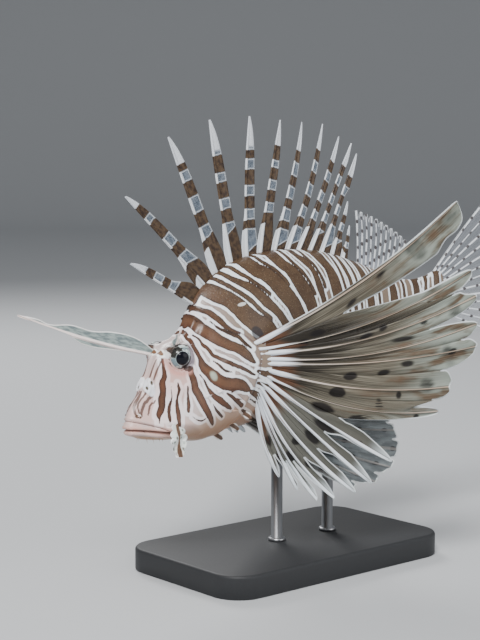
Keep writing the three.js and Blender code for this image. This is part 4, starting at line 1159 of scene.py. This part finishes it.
def anal_fin(paint):
    lengths = (12, 19, 24, 33, 37, 38, 37, 34, 30, 25)
    rays = []
    for i, length in enumerate(lengths):
        share = i / (len(lengths) - 1)
        x, lean = 150 + 40 * share, 30 + 22 * share
        rays.append(Ray((x, 0, float(belly(x)) + ROOT_DEPTH), upright(180 - lean), upright(170 - lean),
                        length + ROOT_DEPTH, (0, -1, 0), level_width(0.9), level_width(0.9),
                        taper(0.9 if i < 3 else 0.5, 0.2), level_width(THIN), 0.6 if i < 3 else 0.88))
    fin_mesh("anal_fin", rays, paint, "membrane", dots(6, 8), bending=True, rows=50, billow=0.3)


def caudal_fin(paint):
    count = 13
    rays = []
    for i in range(count):
        share = 2 * i / (count - 1) - 1
        rays.append(Ray((BODY_LENGTH - ROOT_DEPTH, 0, -9.5 * share), upright(90 + 36 * share),
                        upright(90 + 30 * share), 74 - 9 * abs(share) ** 3, (0, 1, 0), level_width(1),
                        level_width(1), taper(0.55, 0.2), level_width(THIN), 0.93))
    fin_mesh("caudal_fin", rays, paint, "membrane", dots(7, 9), bending=True, rows=80, billow=0.4)


def dots(first, spacing):
    """Rows of small dots on the rays of a clear fin, staggered from ray to ray."""
    def mark(i, along, beside, grid):
        shifted = along - first - spacing * (0.37 * i % 1)
        from_dot = shifted - spacing * np.round(shifted / spacing)
        return np.hypot(from_dot, beside * 1.3) - 1.0
    return mark


def fin_plane(x, side, spread, elevate):
    """A paired fin's ways outwards and up, and the way of a ray from its elevation in degrees."""
    tailward, rightward, upward = axes_at(x)
    turn = math.radians(spread)
    away = tailward * math.cos(turn) + rightward * side * math.sin(turn)

    def way(degrees):
        angle = math.radians(elevate(degrees))
        return away * math.cos(angle) + upward * math.sin(angle)

    return away, upward, way


# Rays of the pectoral fin from the top one down: length, elevation at the root and at the tip,
# share that is webbed to the next, and the widths of the sheet above and below the ray.
PECTORAL_RAYS = [
    (119, 15, 37, 0.4, 1.2, 12.5), (113, -5, 26, 0.9, 3.5, 7), (112, -10, 20, 0.78, 5, 6),
    (110, -16, 14, 0.92, 5, 6), (106, -15, 3, 0.86, 5, 7), (95, -30, -3, 0.95, 5, 5),
    (95, -43, -4, 0.5, 4, 3.5), (78, -49, -39, 0.55, 6, 1.2), (76, -57, -50, 0.6, 5, 1.2),
    (74, -71, -47, 0.6, 5, 1.2), (69, -81, -51, 0.6, 5, 1.2), (62, -82, -61, 0.6, 4.5, 1.2),
    (50, -81, -73, 0.6, 4, 1.2), (39, -94, -73, 0.6, 3.5, 1),
]
ROUND_RAYS = 7  # the upper rays end in round lobes, the others in points
PECTORAL_X, PECTORAL_DEPTH = 78, 5
PELVIC_X, PELVIC_DEPTH = 76, 6
# The top ray's film widens like a banner to a notched round tip.
banner = smooth([0, 0.3, 0.6, 0.8, 0.87, 0.93, 0.98, 1], [0.5, 0.68, 0.88, 1, 0.78, 0.8, 0.45, 0])


def round_end(s):
    return np.sqrt(1 - s ** 8)


def pointed_end(s):
    return np.minimum(1, 4 * (1 - s)) ** 0.6


# Spots in the fan's plane, in millimetres from its root: outwards, up, half sizes and tilt.
# Those with a half width of CLOUD_SIZE or more are soft clouds.
CLOUD_SIZE = 3
FAN_SPOTS = [
    (25, -4, 2.7, 1.8, 20), (32.5, 0, 4, 1.5, 5), (51.5, 12, 3.5, 1, 37), (67, 23, 3.5, 1.2, 37),
    (86, 34, 5, 6, 35), (103.5, 44, 8, 3.5, 35), (56, -5.5, 3, 1.2, 15), (65, -3, 2, 1.2, 20),
    (74, -10.5, 5.5, 1.2, 0), (85.5, -4, 1.6, 1, 0), (97.5, -21, 2, 1.8, 0), (74.5, -23, 2.9, 1.3, -5),
    (45.5, -24.5, 3.2, 2, 0), (62, -25.5, 3, 1.4, 0), (38, -31.5, 4, 2.8, -10),
    (68, -38.5, 1.8, 1.3, 80), (57.5, -42, 3.4, 1.7, 90), (50.5, -47.5, 1.6, 1.2, 80),
    (44.5, -46.5, 3.4, 1.5, 0), (75, -51.5, 1.5, 1.2, 30), (29.5, -38, 6, 2.2, -30),
    (29, -48.5, 6.5, 1.8, -45), (45, -60, 1.4, 1.2, 0), (52.5, -69.5, 1.6, 1.2, 80),
    (22, -52.5, 4.6, 2, -55), (14, -53.5, 2.2, 1.9, 0), (29.5, -64, 3.8, 1.8, -40),
    (10, -61, 3.4, 1.8, -60), (4, -60.5, 2.8, 1.3, -80), (18.5, -66.5, 2.4, 1.6, -55),
    (0, -51, 2.8, 1.3, -80), (29.5, -76, 1.8, 1.8, 0), (11.5, -75, 2, 1.4, -60),
    (19.5, -76.5, 2, 1.3, -50), (0.5, -64, 1.9, 1.2, -70), (82.5, -36, 3.5, 4, 0), (95, -22, 3, 5, 10),
    (101, 1, 3, 4, 0), (92, 14, 5, 3, 20),
]


def pectoral_fin(name, side, spread, elevate, paint, spots):
    away, upward, way = fin_plane(PECTORAL_X, side, spread, elevate)
    normal = -unit(np.cross(away, upward))
    rays = []
    last = len(PECTORAL_RAYS) - 1
    for i, (length, first, final, web, lead, trail) in enumerate(PECTORAL_RAYS):
        share = i / last
        root = bend(skin_at(PECTORAL_X - 2 * share, 8 - 28 * share, side)) - away * PECTORAL_DEPTH

        def flesh(s, length=length):
            return 2.6 * np.maximum(0, 1 - (s * length) / 24) ** 2

        def width(size, shape=round_end if i < ROUND_RAYS else pointed_end):
            return lambda s: size * shape(s) + 0.3

        thick = 0.95 if i > 5 else 0.8
        rays.append(Ray(root, way(first), way(final), length + PECTORAL_DEPTH, normal, width(lead),
                        width(trail, banner) if i == 0 else width(trail),
                        lambda s, flesh=flesh, thick=thick: thick - (thick - 0.3) * s + flesh(s),
                        lambda s, flesh=flesh: THIN + 0.85 * flesh(s), web))

    def mark(i, along, beside, grid):
        away_from_root = grid - rays[0].root
        u, v = away_from_root @ away, away_from_root @ upward
        best = np.full(along.shape, 9.0)
        for at_u, at_v, half_long, half_wide, tilt in spots:
            c, t = math.cos(math.radians(tilt)), math.sin(math.radians(tilt))
            p, q = (u - at_u) * c + (v - at_v) * t, (v - at_v) * c - (u - at_u) * t
            edge = (np.hypot(p / half_long, q / half_wide) - 1) * min(half_long, half_wide)
            if half_wide >= CLOUD_SIZE:
                edge = 0.35 + 0.25 * np.maximum(edge, -1)
            best = np.minimum(best, edge)
        return best

    fin_mesh(name, rays, paint, "membrane", mark, rows=96, notch=0.14, billow=0.9)


# Rays of the pelvic fin from the outer spine inwards: length and elevation.
PELVIC = [(62, -45), (70, -39), (73, -32), (72, -25), (67, -18), (60, -12)]


def pelvic_fin(name, side, spread, elevate, paint):
    away, upward, way = fin_plane(PELVIC_X, side, spread, elevate)
    normal = unit(np.cross(away, upward))
    rays = []
    for i, (length, angle) in enumerate(PELVIC):
        root = bend(skin_at(PELVIC_X + 9 * i / 5, -33, side)) - away * PELVIC_DEPTH
        rays.append(Ray(root, way(angle - 4), way(angle + 6), length + PELVIC_DEPTH, normal,
                        level_width(1.2), level_width(1.2), taper(0.8, 0.25), level_width(THIN), 0.96))
    fin_mesh(name, rays, paint, "membrane", dots(9, 13), rows=70, billow=0.9)


def fan_paint():
    """Films between pale rays: dark near the root, clouded and spotted, pale along their edges."""
    paint = FilmPaint("spotted_fan_film", roughness=0.45, coat=0.06, coat_roughness=0.2, specular=0.15)
    along, order, off_rod = paint.along, paint.order, paint.off_rod
    lower = order.step(230.0, 290.0)
    smudge = paint.noise(paint.scaled(paint.flat, (0.05, 0.16, 1.0)), 1.0, 3.0)
    streak = paint.noise(paint.scaled(paint.flat, (0.03, 1.5, 1.0)), 1.0, 2.0)
    reach = 94.0 - order * 0.2 - order.step(30.0, 0.0) * 46.0
    shade = (along - reach + (streak - 0.5) * 40.0).step(0.0, -40.0) * (off_rod - 0.4).step(0.0, 0.9)
    marked = (paint.mark + (smudge - 0.5) * 1.6).step(0.6, -0.4)
    film = paint.layers(
        paint.mix((84, 78, 66), (126, 120, 106), streak.step(0.34, 0.68)),
        ((160, 168, 158), along.step(66.0, 100.0) * smudge.step(0.62, 0.42) * 0.85),
        ((98, 74, 54), smudge.step(0.52, 0.68) * along.step(40.0, 70.0) * 0.7),
        ((96, 95, 88), lower),
        ((206, 214, 216), lower * paint.share.step(0.8, 0.96)),
        ((30, 26, 22), shade * (1.0 - lower) * 0.9),
        ((24, 21, 22), marked * 0.92))
    width = 0.34 + lower * 0.4 + along.step(50.0, 15.0) * 0.12
    on_rod = (off_rod - width).step(0.15, -0.12)
    rod = paint.layers(
        paint.mix((176, 158, 140), (128, 100, 78), streak.step(0.55, 0.75) * 0.7),
        ((208, 196, 184), along.step(60.0, 24.0)),
        ((236, 242, 248), lower),
        ((148, 112, 88), lower * off_rod.step(0.3, 0.1) * along.step(40.0, 20.0)))
    groove = (off_rod - 1.2 + (smudge - 0.5) * 0.8).step(-0.1, 0.25)
    shown = paint.layers(
        film,
        # A dark brown line along both sides of each rod: the rods' brown edges, and painted shadow of the
        # rods on the film.
        ((58, 46, 36), (off_rod - width).near(0.2, 0.35) * 0.6),
        (rod, on_rod),
        ((232, 238, 240), paint.rim.step(0.8, 0.3) * 0.85),
        (paint.mix((236, 240, 246), (92, 64, 48), groove), along.step(24.0, 13.0)))
    alpha = 0.9 + on_rod * 0.1 + marked * 0.1 + along.step(46.0, 18.0) * 0.16
    return paint.set(Base_Color=shown, Alpha=alpha.math("MINIMUM", 1.0),
                     Normal=paint.bump(streak, 0.2, 0.8))


def clear_paint():
    """Glassy film with rays that are white between short dark marks."""
    paint = FilmPaint("clear_fin_film", roughness=0.3, coat=0.3, coat_roughness=0.15)
    marked = paint.mark.step(0.35, -0.1)
    on_rod = (paint.off_rod - 0.5).step(0.15, -0.1)
    edge = paint.rim.step(0.5, 0.15)
    shown = paint.mix((170, 176, 186), (232, 236, 240), (on_rod + edge).math("MINIMUM", 1.0))
    shown = paint.mix(shown, (48, 36, 36), marked * 0.95)
    alpha = 0.16 + on_rod * 0.8 + edge * 0.3 + marked * 0.8 + paint.along.step(12.0, 5.0) * 0.6
    return paint.set(Base_Color=shown, Alpha=alpha.math("MINIMUM", 1.0))


def belly_fin_paint():
    """Grey-blue film of the pelvic fins, with fine rays and a beaded white edge."""
    paint = FilmPaint("belly_fin_film", roughness=0.42, coat=0.1, coat_roughness=0.2, specular=0.25)
    smudge = paint.noise(paint.scaled(paint.flat, (0.08, 0.2, 1.0)), 1.0, 3.0)
    grain = paint.noise(paint.scaled(paint.flat, (0.5, 0.9, 1.0)), 1.0, 2.0)
    marked = (paint.mark - 0.6 + (smudge - 0.5) * 1.6).step(0.4, -0.3)
    on_rod = (paint.off_rod - 0.6).step(0.2, -0.1)
    edge = (paint.rim + (grain - 0.5) * 1.2).step(0.8, 0.4)
    shown = paint.layers(
        paint.mix((92, 98, 100), (134, 142, 144), smudge.step(0.35, 0.65)),
        ((66, 50, 42), paint.along.step(46.0, 14.0) * 0.8),
        ((160, 168, 172), grain.step(0.58, 0.78) * 0.4),
        ((30, 28, 32), marked * 0.9),
        ((150, 146, 142), on_rod * 0.7),
        ((232, 236, 236), edge))
    alpha = 0.78 + (on_rod + edge + marked + paint.along.step(40.0, 15.0)) * 0.2
    return paint.set(Base_Color=shown, Alpha=alpha.math("MINIMUM", 1.0))


def spine_paint():
    """Spines with white tips and brown bands, and a blue-grey film with a pale edge behind each."""
    paint = FilmPaint("banded_spine", roughness=0.4, coat=0.12, coat_roughness=0.15, specular=0.3)
    cloud = paint.noise(paint.scaled(paint.flat, (0.35, 0.6, 1.0)), 1.0, 3.0)
    band = paint.mark + (cloud - 0.5) * 0.7
    brown_band = band.step(0.25, -0.25)
    tip = paint.share.step(0.78, 0.81)
    on_rod = paint.beside.step(0.75, 0.45)
    edge = (paint.rim.step(0.7, 0.25) + band.near(0.5, 0.45)).math("MINIMUM", 1.0)
    brown = paint.mix((86, 68, 50), (54, 40, 32), cloud.step(0.4, 0.65))
    shown = paint.layers(
        paint.mix((92, 104, 118), (132, 142, 154), cloud.step(0.35, 0.65)),
        ((216, 222, 228), edge),
        ((222, 226, 230), on_rod),
        ((218, 222, 228), tip),
        (brown, brown_band))
    solid = (on_rod + tip + brown_band + paint.along.step(14.0, 8.0)).math("MINIMUM", 1.0)
    return paint.set(Base_Color=shown, Alpha=0.62 + solid * 0.38, Normal=paint.bump(cloud, 0.1, 0.5))


# The growths of the head

def leaves(name, rays, material, mark, rows=50, billow=0.0):
    """Separate leaves of skin with a midrib each, as one object."""
    parts, start = [], 0
    for ray in rays:
        points, faces, fields = fin_points([ray], rows, mark, billow=billow)
        parts.append((points, faces + start, fields))
        start += len(points)
    points, faces = (np.concatenate([part[k] for part in parts]) for k in (0, 1))
    fields = {key: np.concatenate([part[2][key] for part in parts]) for key in parts[0][2]}
    fields["tint"] = rng.uniform(0, 1, len(points))
    return new_object(name, points, faces, material, fields)


# The widths of a long tentacle's leaf over and under its midrib.
blade = smooth([0, 0.13, 0.32, 0.46, 0.62, 0.79, 0.84, 1], [2, 6.2, 7, 4.8, 4.6, 1.4, 1.8, 0.2])
lobe = smooth([0, 0.2, 0.3, 0.45, 0.54, 0.6, 1], [0.6, 0.6, 1.5, 2.6, 2.2, 0.6, 0.4])


def tentacle(name, place, length, width, way, rise, marks, paint):
    start = unit(way)
    finish = unit(start + [0, 0, rise])
    normal = unit(np.cross([0, 0, 1], start))
    ray = Ray(bend(place) - start * 3, start, finish, length + 3, normal, lambda s: width * blade(s),
              lambda s: width * lobe(s) + 0.2, taper(0.8, 0.3), level_width(THIN), 0.5)
    thing = leaves(name + "_leaf", [ray], paint, dots(*marks), 110, 0.4)
    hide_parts(name)


def frill(name, side, length, sweep, paint):
    tailward, rightward, upward = axes_at(19)
    root = bend(skin_at(19, -9, side)) + upward - rightward * side * 0.5

    def scalloped(phase):
        def width(s):
            round_form = 0.2 * length * np.sin(np.pi * s)
            return 0.9 + round_form + 0.1 * length * np.abs(np.sin(4.5 * np.pi * s + phase)) ** 0.6
        return width

    start = unit([0, 0, -1] + rightward * side * 0.35 + tailward * sweep)
    ray = Ray(root, start, unit([0, 0, -1] + tailward * sweep), length, rightward * side, scalloped(0.0),
              scalloped(1.3), taper(0.75, 0.3), level_width(THIN), 0.5)
    thing = leaves(name + "_leaf", [ray], paint, dots(3, 5), 150, 1.3)
    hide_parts(name)


# Leaf shaped flaps of skin along the cheek's lower edge and on the snout: station, height, length.
FLAPS = [(61, -24, 6), (55, -28.5, 6), (49, -32, 6.5), (5, 2.6, 3.5), (20.5, 11.5, 4.5)]


def flap_ray(x, z, side, length):
    tailward, rightward, upward = axes_at(x)
    start = unit(rightward * side * 0.5 - upward * 0.6 + tailward * 0.5)
    finish = unit(start - upward * 0.5)

    def width(s):
        return 0.4 + 1.3 * np.sin(np.pi * s)

    normal = unit(np.cross(start, upward + tailward * 0.8))
    return Ray(bend(skin_at(x, z, side)) - start * 1.2, start, finish, length, normal, width, width,
               taper(0.5, 0.25), level_width(THIN), 0.5)


# Small spines on the brow, the nape and the cheek: station, place round the section, length.
HEAD_SPINES = [(35, 1, 3.6), (44, 0.95, 4), (50, 0.6, 3.4), (57, 0.5, 2.4), (40, 1.9, 3),
               (47, 2, 3.4), (54, 2.2, 4), (55, 2.45, 4), (53, 2.7, 3.6)]
# Fine hairs of skin round the mouth and the nose: station, place round the section, length.
HAIRS = [(2, 1.4, 3), (3, 1.9, 2.6), (4, 2.3, 2.2), (6, 3.5, 3.4), (8.5, 3.4, 3), (11, 3.3, 2.6),
         (17, 0.9, 5), (5, 1.1, 2), (13, 3.4, 2)]
THORN_ROWS, THORN_RING = 14, 16


def outward_at(x, around, side):
    place = bend(skin(float(x), around, side))
    beside = bend(skin(float(x), around + 0.05, side)) - place
    outwards = unit(np.cross(axes_at(x)[0], beside))
    return place, outwards * np.sign(outwards @ (place - bend([x, 0, 0])))


def thorn(place, way, droop, length, radius, sunk):
    """A curved cone with a wide foot, as points row by row."""
    s = np.linspace(0, 1, THORN_ROWS)[:, None, None]
    turn = (np.arange(THORN_RING) * 2 * np.pi / THORN_RING)[None, :, None]
    across = unit(np.cross(way, [0.3, 0.2, 1.0]))
    other = np.cross(way, across)
    width = radius * (0.25 * (1 - s) + 0.75 * (1 - s) ** 2 + 0.02)
    axis = place + way * (s * length - sunk) + droop * length * s ** 2
    return (axis + (across * np.cos(turn) + other * np.sin(turn)) * width).reshape(-1, 3)


def thorns(name, spots, side, paint):
    """Thorns that take the colour of the skin at their feet, as one object."""
    count = THORN_ROWS * THORN_RING
    points, faces, feet = [], [], []
    for k, (x, around, length, radius, lean) in enumerate(spots):
        place, outwards = outward_at(x, around, side)
        tailward, _, upward = axes_at(x)
        way = unit(outwards * 0.8 + tailward * lean)
        droop = tailward * lean * 0.2 - upward * 0.08
        points.append(thorn(place, way, droop, length, radius, length * 0.3))
        faces.append(grid_faces(THORN_ROWS, THORN_RING, closed=True) + k * count)
        feet.append(np.repeat(skin(float(x), around, side)[None], count, 0))
    new_object(name, np.concatenate(points), np.concatenate(faces), paint,
               skin_fields(np.concatenate(feet)))


def cirrus_paint():
    """Soft leaves: mint white film with dark rings, streaks along the midrib and white edges."""
    paint = FilmPaint("soft_leaf_skin", roughness=0.38, coat=0.3, coat_roughness=0.2)
    cloud = paint.noise(paint.scaled(paint.flat, (0.25, 0.9, 1.0)), 1.0, 3.0)
    on_rod = (paint.off_rod - 0.8).step(0.3, -0.1)
    shown = paint.layers(
        paint.mix((108, 122, 124), (160, 174, 170), cloud.step(0.34, 0.66)),
        ((52, 48, 46), paint.mark.step(0.9, -0.4) * 0.85),
        ((244, 242, 238), paint.rim.step(0.6, 0.2)),
        ((244, 228, 222), on_rod * 0.95))
    return paint.set(Base_Color=shown, Alpha=0.88 + on_rod * 0.12, Normal=paint.bump(cloud, 0.12, 0.6))


def frill_paint():
    """Frilled leaves: pale cells with dark rings and a brown stalk between white lines."""
    paint = FilmPaint("frilled_leaf_skin", roughness=0.38, coat=0.3, coat_roughness=0.2)
    cells = paint.cells(paint.scaled(paint.flat, (0.42, 0.42, 1.0)), 1.0)
    shown = paint.layers(
        paint.mix((172, 186, 176), (236, 242, 238), cells.step(0.2, 0.5)),
        ((58, 40, 32), cells.near(0.2, 0.12) * 0.9),
        ((150, 92, 74), cells.step(0.14, 0.06) * 0.8),
        ((250, 252, 250), paint.rim.step(0.8, 0.4)),
        ((240, 226, 214), (paint.off_rod - 1.2).near(0.0, 0.35) * 0.8),
        ((96, 68, 48), (paint.off_rod - 0.95).step(0.2, -0.1)))
    return paint.set(Base_Color=shown, Normal=paint.bump(cells, 0.2, 0.6))


# The display stand

BASE = {"length": 150, "width": 90, "height": 12, "corner": 16}
ROD_RADIUS = 3
ROD_STATIONS = (110, 146)


def stand_base(paint):
    """A flat base with round corners and softened edges."""
    steps = 16
    angles = np.concatenate([np.linspace(90 * k, 90 * k + 90, steps) for k in range(4)])
    corner, half_x, half_y = BASE["corner"], BASE["length"] / 2, BASE["width"] / 2
    signs = np.repeat([[1, 1], [-1, 1], [-1, -1], [1, -1]], steps, 0)
    turned = np.radians(angles)
    round_way = np.stack([np.cos(turned), np.sin(turned)], 1)
    centre = signs * [half_x - corner, half_y - corner]
    soft, height = 1.6, BASE["height"]
    bevel = np.radians(np.linspace(0, 90, 8))
    profile = [(soft * 0.4, 0.0), (0.0, soft * 0.4)]
    profile += [(soft - soft * math.cos(a), height - soft + soft * math.sin(a)) for a in bevel]
    profile = [(corner + half_y, 0.0)] + profile + [(corner + half_y, height)]
    rings = []
    for inset, z in profile:
        shrink = min(inset, corner - 0.5)
        flat = centre + round_way * (corner - shrink)
        if inset > corner:
            flat = flat * 0.002
        rings.append(np.column_stack([flat, np.full(len(flat), z)]))
    points = np.concatenate(rings) - MIDDLE_AT
    faces = grid_faces(len(rings), 4 * steps, closed=True)
    thing = new_object("stand_base_plate", points, faces, paint)
    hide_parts("stand_base")


def stand_rod(name, x, paint):
    foot = middle_at(x)
    belly_at = bend([x, 0, float(belly(x))])
    bottom, top = BASE["height"] - MIDDLE_AT[2], belly_at[2] + 1.2
    ring = 40
    turn = np.arange(ring) * 2 * np.pi / ring
    profile = [(0.0, bottom), (ROD_RADIUS + 1.6, bottom), (ROD_RADIUS + 1.6, bottom + 1.2),
               (ROD_RADIUS + 1.2, bottom + 1.7), (ROD_RADIUS, bottom + 1.9), (ROD_RADIUS, top),
               (0.0, top)]
    points = np.array([[foot[0] + radius * math.cos(angle), foot[1] + radius * math.sin(angle), z]
                       for radius, z in profile for angle in turn])
    faces = grid_faces(len(profile), ring, closed=True)
    thing = new_object(name + "_post", points, faces, paint)
    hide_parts(name)


def stand_paint():
    paint = Paint("matte_stand", roughness=0.55, specular=0.4)
    place = paint.node("ShaderNodeTexCoord", {}, {}, 3)
    grain = paint.noise(place, 900.0, 2.0)
    shown = paint.mix((38, 39, 41), (50, 51, 53), grain)
    return paint.set(Base_Color=shown, Roughness=0.5 + grain * 0.12)


def metal_paint():
    paint = Paint("satin_metal", roughness=0.32)
    place = paint.node("ShaderNodeTexCoord", {}, {}, 3)
    brushed = paint.noise(paint.scaled(place, (1.0, 1.0, 0.02)), 2500.0, 2.0)
    shown = paint.mix((168, 169, 172), (190, 191, 193), brushed)
    return paint.set(Base_Color=shown, Metallic=1.0, Roughness=0.26 + brushed * 0.14)


# The whole model

add_camera()
add_studio()
skin_material = skin_paint()
make_skin(skin_material)
eye_material = eye_paint()
make_eye("eye_left", -1, eye_material)
make_eye("eye_right", 1, eye_material)
make_lids(-1, skin_material)
make_lids(1, skin_material)
leaf_skin = cirrus_paint()
frilled = frill_paint()
tentacle("tentacle_right", (31, 5, 20.5), 66, 1, (-0.72, 0.62, 0.17), 0.24, (20, 90), leaf_skin)
tentacle("tentacle_left", (40, -7, 23), 7, 0.45, (0.1, -0.35, 1), 0, (2, 2.6), leaf_skin)
frill("frill_left", -1, 17, -0.05, frilled)
frill("frill_right", 1, 10, 0.7, frilled)
for side, sided in ((-1, "left"), (1, "right")):
    flaps = [flap_ray(x, z, side, length) for x, z, length in FLAPS]
    leaves("cheek_flaps_" + sided, flaps, frilled, dots(2, 4), 40, 0.2)
    thorns("head_spines_" + sided, [(*spine, 1.3, 0.75) for spine in HEAD_SPINES], side, skin_material)
    thorns("hairs_" + sided, [(*hair, 0.3, -0.4) for hair in HAIRS], side, skin_material)
stand_base(stand_paint())
metal = metal_paint()
stand_rod("stand_rod_front", ROD_STATIONS[0], metal)
stand_rod("stand_rod_rear", ROD_STATIONS[1], metal)
spiny_dorsal(spine_paint())
clear_film = clear_paint()
soft_dorsal(clear_film)
anal_fin(clear_film)
caudal_fin(clear_film)
fan_film = fan_paint()
pectoral_fin("pectoral_fin_left", -1, 41, lambda degrees: degrees, fan_film, FAN_SPOTS)
pectoral_fin("pectoral_fin_right", 1, 26, lambda degrees: -4 + degrees * 0.55, fan_film, FAN_SPOTS)
belly_film = belly_fin_paint()
pelvic_fin("pelvic_fin_left", -1, 38, lambda degrees: degrees, belly_film)
pelvic_fin("pelvic_fin_right", 1, 16, lambda degrees: 20 + degrees * 0.8, belly_film)
